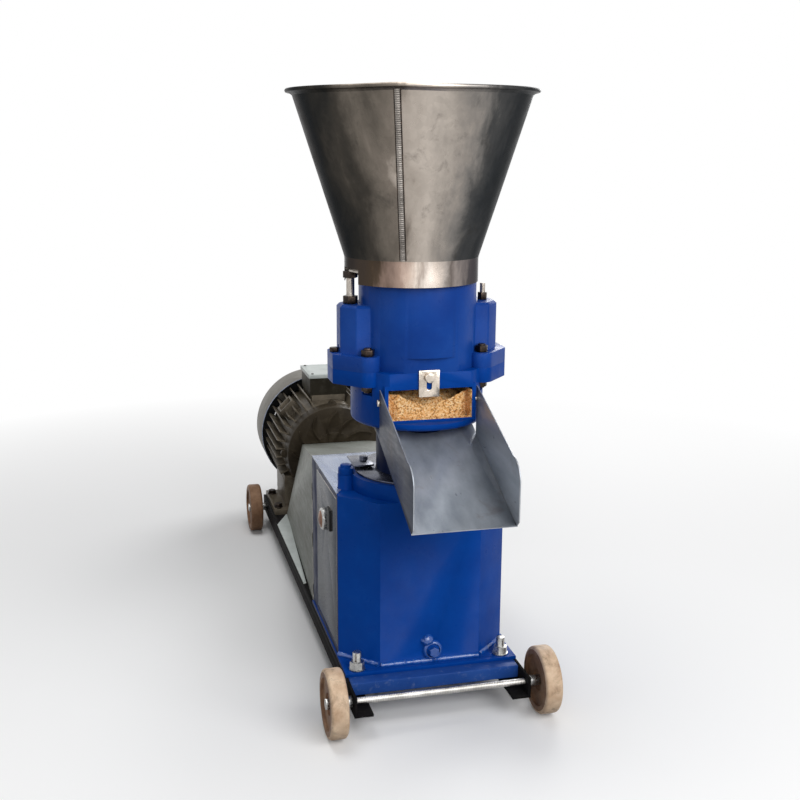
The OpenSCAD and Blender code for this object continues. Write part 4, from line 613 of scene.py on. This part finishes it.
whiteShader = addNode(floorTree, "Emission", {"Color": grey(1.0), "Strength": 1.0})
floorMix = addNode(floorTree, "MixShader", {},
                   {0: whiteFactor, 1: floorShader.outputs[0], 2: whiteShader.outputs[0]})
addNode(floorTree, "OutputMaterial", {}, {"Surface": floorMix.outputs[0]})
floor.data.materials.append(floorMaterial)
print("camera, lamps and floor placed")

castings = {
    # node: (edge radius mm, finish)
    "roller_chamber": (2.2, "chamberEnamel"),
    "discharge_housing": (2.2, "blueEnamel"),
    "gearbox_housing": (2.0, "blueEnamel"),
    "front_beam": (2.0, "beamEnamel"),
    "drain_plug": (0.8, "blueEnamel"),
    "rear_cover": (2.0, "navyEnamelAndPaintedShade"),
    "side_cover": (0.8, "coverSteel"),
    "bearing_cover": (0.6, "ringSteel"),
    "left_rail": (1.4, "railPaint"),
    "right_rail": (1.4, "railPaint"),
    "middle_beam": (1.4, "railPaint"),
    "rear_beam": (1.4, "railPaint"),
    "motor_body": (0.9, "motorCast"),
    "motor_shields": (1.0, "motorShield"),
    "fan_cowl": (0.5, "cowlPaint"),
    "coupling_guard": (0.5, "hoodSteel"),
    "chute": (0.5, "chuteSteel"),
    "corner_boss_cap": (0.8, "blueEnamel"),
    "lock_nuts": (0.7, "blackened"),
    "flange_bolts": (1.0, "blackened"),
    "base_studs": (0.7, "machined"),
    "adjusting_bolt": (0.6, "thread"),
    "set_screw": (0.3, "thread"),
    "terminal_box": (0.8, "boxPaint"),
    "slotted_plate": (0.4, "bright"),
    "plate_bolt": (0.9, "bright"),
    "chute_bolts": (0.6, "bright"),
    "axle_nuts": (0.8, "machined"),
    "wheel_spacers": (0.5, "machined"),
    "sight_glass": (0.5, "machined"),
}
forms = {}
for node, (radius, material) in castings.items():
    forms[node] = dressed(node, mm(radius), material)
print("castings dressed:", len(castings))

# faces of one casting that have another finish: node, finish, two corners in mm from the die axis
regions = [
    ("terminal_box", "lidSheet", (-60, 880, 423.5), (60, 1050, 434.05)),
    ("terminal_box", "blackened", (-60, 880, 434.1), (60, 1050, 440)),
    ("terminal_box", "plastic", (49.3, 940, 380), (80, 990, 422)),
    ("side_cover", "plastic", (-168, 8, 310), (-162.4, 40, 360)),
    # painted shade: the chute's left outer face takes the darker copy of its sheet
    ("chute", "chuteOuterPaintedShade", (-96, -330, 400), (-91.7, 0, 640)),
    ("adjusting_bolt", "blackened", (-150, -20, 798.5), (-100, 20, 815)),
    # painted reflection: the cowl's front rim takes the pale lavender-blue sheet
    ("fan_cowl", "lipSteel", (-170, 1050, 200), (170, 1056.5, 420)),
    # painted reflection: the plate over the gearbox takes the pale lavender-blue sheet
    ("coupling_guard", "lipSteel", (-190, -60, 399.9), (190, 220, 404.2)),
    # painted highlight: the hood's foot lip on the rails takes the pale lid paint
    ("coupling_guard", "lidSheet", (-170, 220, 80.4), (170, 830, 81.5)),
    # painted shade: the gearbox's left side is painted dark navy
    ("gearbox_housing", "navyEnamelAndPaintedShade", (-170, -46, 80), (-161.5, 240, 401.5)),
    # painted shade: the neck under the drum is painted dark navy
    ("discharge_housing", "navyEnamelAndPaintedShade", (-80, -80, 432.5), (80, 80, 533.9)),
]
for node, material, low, high in regions:
    faced(forms[node], material, low, high)

# the narrow faces along cut and folded edges are rubbed bright
rubbed = {"nodes": ("chute", "coupling_guard", "side_cover"), "width": 1.1}
for node in rubbed["nodes"]:
    mesh = forms[node].data
    mesh.materials.append(finish["bright"])
    for polygon in mesh.polygons:
        corners = [mesh.vertices[i].co for i in polygon.vertices]
        longest = max((corners[i] - corners[i - 1]).length for i in range(len(corners)))
        if polygon.material_index == 0 and polygon.area < longest * mm(rubbed["width"]):
            polygon.material_index = len(mesh.materials) - 1

# the wheels' side faces, inside the tread, take a darker brown finish
# painted shade: the rear wheels take the darker copy of the nylon
wheels = {"edge": 0.9, "faceR": 53, "front": "nylon", "rear": "rearNylonPaintedShade"}
for node in ("wheel_front_left", "wheel_front_right", "wheel_rear_left", "wheel_rear_right"):
    wheel = dressed(node, mm(wheels["edge"]), wheels["rear" if "rear" in node else "front"])
    wheel.data.materials.append(finish["nylonFace"])
    middle = sum((v.co for v in wheel.data.vertices), Vector()) / len(wheel.data.vertices)
    for polygon in wheel.data.polygons:
        reach = sqrt((polygon.center.y - middle.y) ** 2 + (polygon.center.z - middle.z) ** 2)
        if reach < mm(wheels["faceR"]):
            polygon.material_index = 1

# the hopper's folded seam: where it runs round and up the cone, its section and its knurling
seam = {
    "angle": 248.5, "width": 12, "height": 1.5, "sheet": 0.8, "low": (123.5, 839), "high": (214.5, 1121),
    "ridge": 0.4, "pitch": 3.6, "ridgeShare": 0.7, "sink": 0.3, "lineShare": 0.36, "across": 6, "along": 360,
}
# sheet hopper: straight collar, crease, cone and rolled rim, with a notch for the adjusting bolt
hopper = {
    "x": -12.1, "rimR": 226, "top": 1129.4, "bead": 3.5, "sheet": 1.5, "lap": 0.3, "segments": 160,
    "collarR": 122.4, "collarRings": (792, 800, 815, 832), "crease": ((0.5, 837), (2, 842)),
    "coneLow": 838, "coneRings": 14, "flareR": 213, "flareDrop": 8, "lipR": 216.6, "lipDrop": 5,
    "beadTurns": (-125, -90, -50, -10, 30, 70, 110, 150, 180),
    "notchLow": (-146, -52, 780), "notchHigh": (-108, 15, 818),
    "collarLow": (-150, -150, 780), "collarHigh": (150, 150, 836.5),
}
topZ = hopper["top"] - hopper["bead"]
coneR, coneZ = hopper["collarR"] + hopper["crease"][1][0], hopper["crease"][1][1]
outer = [(hopper["collarR"], z) for z in hopper["collarRings"]]
outer += [(hopper["collarR"] + step, z) for step, z in hopper["crease"]]
for i in range(1, hopper["coneRings"] + 1):
    share = i / hopper["coneRings"]
    flareZ = topZ - hopper["flareDrop"]
    outer.append((coneR + (hopper["flareR"] - coneR) * share, coneZ + (flareZ - coneZ) * share))
outer.append((hopper["lipR"], topZ - hopper["lipDrop"]))
beadRing = []
for turn in hopper["beadTurns"]:
    a = radians(turn)
    beadR = hopper["rimR"] - hopper["bead"] + hopper["bead"] * cos(a)
    beadRing.append((beadR, topZ + hopper["bead"] * sin(a)))
inner = [(r - hopper["sheet"], z + hopper["lap"]) for r, z in outer[::-1]]
inner[-1] = (hopper["collarR"] - hopper["sheet"], hopper["collarRings"][0])
hopperShell = turned(outer + beadRing + inner, at(hopper["x"], 0, 0), segments=hopper["segments"])
notch = block(hopper["notchLow"], hopper["notchHigh"])
pick(hopperShell)
cut = hopperShell.modifiers.new("notch", "BOOLEAN")
cut.operation, cut.object, cut.solver = "DIFFERENCE", notch, "EXACT"
applyModifiers(hopperShell)
bpy.data.objects.remove(notch)
# hand-made rim: it rises a little where the seam crosses it, and to the right
rim = {"from": 960, "over": 170, "atSeam": 2.2, "spread": 0.35, "toRight": 1.0}
for vertex in hopperShell.data.vertices:
    rel = vertex.co - at(hopper["x"], 0, 0)
    nearSeam = max(0, 1 - turnAway(rel, seam["angle"]) / rim["spread"])
    rise = mm(rim["atSeam"]) * nearSeam + mm(rim["toRight"]) * rel.x / mm(hopper["rimR"])
    vertex.co.z += max(0, (rel.z - mm(rim["from"])) / mm(rim["over"])) * rise
smoothAt(hopperShell, 30)
settle(hopperShell, "hopperShell", "machine", "coneZinc", ("hopper",))
faced(hopperShell, "collarZinc", hopper["collarLow"], hopper["collarHigh"])
hopperShell.data.materials.append(finish["innerZinc"])
for polygon in hopperShell.data.polygons:
    rel = polygon.center - at(hopper["x"], 0, 0)
    if rel.z > mm(hopper["coneLow"]) and rel.x * polygon.normal.x + rel.y * polygon.normal.y < 0:
        polygon.material_index = len(hopperShell.data.materials) - 1
print("hopper turned")

# lock seam up the cone, with knurled cross ridges
run = Vector((seam["high"][0] - seam["low"][0], seam["high"][1] - seam["low"][1]))
dropSelection()
bpy.ops.mesh.primitive_grid_add(x_subdivisions=seam["across"], y_subdivisions=seam["along"], size=1)
seamStrip = bpy.context.object
for vertex in seamStrip.data.vertices:
    across, along = vertex.co.x * 2, vertex.co.y + 0.5
    ridge = 0
    if abs(across) < seam["ridgeShare"]:
        ridge = seam["ridge"] * cos(along * run.length / seam["pitch"] * 2 * pi)
    proud = seam["height"] * (1 - across ** 4) - seam["sink"] + ridge
    radius = seam["low"][0] + run.x * along + proud * run.y / run.length
    level = seam["low"][1] + run.y * along - proud * run.x / run.length
    angle = radians(seam["angle"]) + across * seam["width"] / 2 / radius
    vertex.co = at(hopper["x"] + radius * cos(angle), radius * sin(angle), level)
seamStrip.data.materials.append(finish["seamZinc"])
seamStrip.data.materials.append(finish["blackened"])
for polygon in seamStrip.data.polygons:
    rel = polygon.center - at(hopper["x"], 0, 0)
    offset = turnAway(rel, seam["angle"]) * sqrt(rel.x ** 2 + rel.y ** 2)
    polygon.material_index = 1 if offset > mm(seam["width"] * seam["lineShare"]) else 0
pick(seamStrip)
bpy.ops.object.mode_set(mode="EDIT")
bpy.ops.mesh.select_all(action="SELECT")
bpy.ops.mesh.normals_make_consistent(inside=False)
bpy.ops.object.mode_set(mode="OBJECT")
thick = seamStrip.modifiers.new("thick", "SOLIDIFY")
thick.thickness, thick.offset = mm(seam["sheet"]), 0
applyModifiers(seamStrip)
smoothAt(seamStrip, 40)
settle(seamStrip, "hopperSeam", "machine", None)

# meal banked against the drum's wall behind the window
bank = {
    "low": 544.2, "inR": 87, "wallR": 106.7, "frontY": -88.4, "inMargin": 1, "wallMargin": 0.6,
    "lumpsFrom": 547,
    "slope": [(87, 572), (91, 580), (96, 588), (101, 593), (106.7, 597)],
    "lumps": ((24, 0.006, (0, 0, 0)), (70, 0.004, (0, 0, 0)), (260, 0.0018, (0, 0, 0))),
}
bankProfile = [(bank["inR"], bank["low"])] + bank["slope"] + [(bank["wallR"], bank["low"])]
mealBank = turned(bankProfile, at(0, 0, 0), segments=180)
pick(mealBank)
bpy.ops.object.mode_set(mode="EDIT")
bpy.ops.mesh.select_all(action="SELECT")
bpy.ops.mesh.bisect(plane_co=at(0, bank["frontY"], 0), plane_no=(0, 1, 0), clear_inner=True, use_fill=True)
bpy.ops.object.mode_set(mode="OBJECT")
subdivided(mealBank, 2)
for vertex in mealBank.data.vertices:
    rel = vertex.co - at(0, 0, 0)
    radius = sqrt(rel.x ** 2 + rel.y ** 2)
    free = mm(bank["inR"] + bank["inMargin"]) < radius < mm(bank["wallR"] - bank["wallMargin"])
    if free and rel.z > mm(bank["lumpsFrom"]):
        vertex.co.z += lumpy(vertex.co, bank["lumps"])
smoothAt(mealBank, 60)
settle(mealBank, "mealBank", "machine", "meal")

# meal heaped on the flinger, which turns with the main shaft
cake = {
    "profile": [(36, 552.1), (36, 591), (50, 592), (62, 588), (72, 581), (79, 574), (83.5, 566), (84, 552.1)],
    "lumpsFrom": 552.5, "lowest": 552.3,
    "lumps": ((26, 0.006, (3, 1, 2)), (80, 0.004, (0, 0, 0)), (280, 0.0016, (0, 0, 0))),
}
mealCake = turned(cake["profile"], at(0, 0, 0), segments=120)
subdivided(mealCake, 2)
for vertex in mealCake.data.vertices:
    if vertex.co.z > mm(cake["lumpsFrom"]):
        vertex.co.z = max(vertex.co.z + lumpy(vertex.co, cake["lumps"]), mm(cake["lowest"]))
smoothAt(mealCake, 60)
settle(mealCake, "mealCake", "mill_shaft", "meal")

# meal dust on the window's sill and its two jambs
sill = {
    # low corner, high corner and the lumpy side: 0 for the top, 1 and -1 for the faces along x
    "strips": (
        ((-77.8, -97.8, 551.05), (77.8, -91.2, 553.2), 0),
        ((-77.9, -97.6, 551), (-74.8, -66, 598), 1),
        ((74.8, -97.6, 551), (77.9, -66, 602), -1),
    ),
    "lumpsFrom": 552, "cuts": 14, "lumps": ((90, 0.0022, (0, 0, 0)), (330, 0.001, (0, 0, 0))),
}
sillStrips = []
for low, high, side in sill["strips"]:
    strip = block(low, high)
    subdivided(strip, sill["cuts"])
    middleX = (at(low[0], 0, 0).x + at(high[0], 0, 0).x) / 2
    for vertex in strip.data.vertices:
        lump = lumpy(vertex.co, sill["lumps"])
        if side == 0 and vertex.co.z > mm(sill["lumpsFrom"]):
            vertex.co.z += abs(lump)
        if side != 0 and side * (vertex.co.x - middleX) > 0:
            vertex.co.x += side * lump
    smoothAt(strip, 60)
    sillStrips.append(strip)
sillDust = joined(sillStrips)
settle(sillDust, "sillDust", "machine", "meal")
print("meal laid")

# weld bead between the gearbox's front faces and its foot
weld = {
    "runs": (((-95, -112.6), (95, -112.6)), ((-161, -46.6), (-97, -110.6)), ((97, -110.6), (161, -46.6))),
    "pitch": 4.2, "r": 5.2, "wobble": 2.8, "ripple": 0.9, "z": 87.2, "endR": 0.1, "startShare": 0.37,
    "step": 1.7,
}
beads = []
for start, end in weld["runs"]:
    run = Vector((end[0] - start[0], end[1] - start[1], 0))
    steps = int(run.length / weld["pitch"])
    profile = [(weld["endR"], 0)]
    for i in range(steps + 1):
        wobble = noise.noise(Vector((start[0] * weld["startShare"] + i * weld["step"], start[1], 0)))
        ripple = weld["ripple"] if i % 2 else 0
        profile.append((weld["r"] + wobble * weld["wobble"] + ripple, run.length * i / steps))
    profile.append((weld["endR"], run.length))
    bead = turned(profile, Vector((0, 0, 0)), axis="X", segments=14, closed=False)
    heading = Matrix.Rotation(atan2(run.y, run.x), 4, "Z")
    bead.data.transform(Matrix.Translation(at(start[0], start[1], weld["z"])) @ heading)
    smoothAt(bead, 50)
    beads.append(bead)
footWeld = joined(beads)
settle(footWeld, "footWeld", "machine", "weldEnamelPaintedHighlight")
print("weld laid")

# domed window of the sight glass
pane = {
    "place": (-171.8, 74, 318),
    "profile": [(axisR, 4.6), (6, 4.3), (11, 3.3), (15, 1.8), (17.5, 0.2), (18, -1), (axisR, -1)],
}
sightPane = turned(pane["profile"], at(*pane["place"]), "-X", 48, False)
smoothAt(sightPane, 50)
settle(sightPane, "sightPane", "machine", "oil")

# drain plug: a ring and a hexagon over the plug, and the weld lump above it
plug = {
    "place": (5, -112, 108), "lumpPlace": (-5, -112, 128), "uneven": 0.0024, "lumpScale": 150,
    "ring": [(13.3, -0.2), (19, -0.2), (18.8, 2.6), (17, 5.8), (14.8, 6.9), (13.3, 6.6)],
    "head": [(axisR, 6.9), (9.4, 6.9), (10.2, 7.8), (10.2, 15.4), (8.6, 17), (axisR, 17.2)],
    "lump": [(axisR, 10.5), (4, 10), (8, 8), (10.8, 4.2), (12, -0.5), (axisR, -0.5)],
    "shifts": ((0, 0, 0), (5, 0, 0), (0, 7, 0)),
}
plugLump = turned(plug["lump"], at(*plug["lumpPlace"]), "-Y", 40, False)
for vertex in plugLump.data.vertices:
    dents = [noise.noise(vertex.co * plug["lumpScale"] + Vector(shift)) for shift in plug["shifts"]]
    vertex.co += Vector(dents) * plug["uneven"]
plugRing = turned(plug["ring"], at(*plug["place"]), "-Y", 56, True)
plugHead = turned(plug["head"], at(*plug["place"]), "-Y", 6, False)
smoothAt(plugLump, 50)
smoothAt(plugRing, 40)
plugParts = joined([plugLump, plugRing, plugHead])
settle(plugParts, "plugWeld", "machine", "weldEnamelPaintedHighlight")

# black ring inside the cowl: painted shade, a dark sheet where the cowl's inside lies in shade
cowlShadeRingShape = {
    "place": (0, 1068, 238),
    "profile": [(133, 0), (156.5, 0), (156.5, 2), (134, 2), (131, 9), (130, 9)],
}
cowlShadeRing = turned(cowlShadeRingShape["profile"], at(*cowlShadeRingShape["place"]), "Y", 96, True)
smoothAt(cowlShadeRing, 30)
settle(cowlShadeRing, "cowlShadeRing", "machine", "plastic")

# bolt heads: places, the way they point, width across flats, height and washer radius
bolts = {
    "footBolts": {"x": (-147, 147), "y": (845, 965), "z": (92.1,), "axis": "Z", "sizes": (19, 8, 12)},
    "rearCoverBolts": {
        "x": (-140, 140), "y": (224.1,), "z": (130, 238, 346), "axis": "Y", "sizes": (17, 7, 11),
    },
}
for name, group in bolts.items():
    places = [(x, y, z) for x in group["x"] for y in group["y"] for z in group["z"]]
    heads = [hexHead(at(*place), group["axis"], *group["sizes"]) for place in places]
    settle(joined(heads), name, "machine", "blackened")
print("fittings made")

# CAD nodes that stay as they are get their finish
kept = {
    "hopper_seat": "seatSteel", "front_axle": "rod", "rear_axle": "rod", "main_shaft": "machined",
    "crown_wheel": "machined", "bevel_pinion": "machined", "input_shaft": "machined",
    "lower_bearing": "bright", "neck_bearings": "bright", "input_bearings": "bright",
    "shaft_seal": "rubber", "flinger": "machined", "cutter": "machined", "die": "machined",
    "die_nut": "bright", "roller_axle": "machined", "left_roller": "machined",
    "right_roller": "machined", "gearbox_hub": "iron", "motor_hub": "iron", "spider": "rubber",
    "stator": "iron", "rotor": "machined", "motor_bearings": "bright", "fan": "plastic",
}
for node, material in kept.items():
    nodes[node].data.materials.clear()
    nodes[node].data.materials.append(finish[material])
print("kept nodes finished:", len(kept))
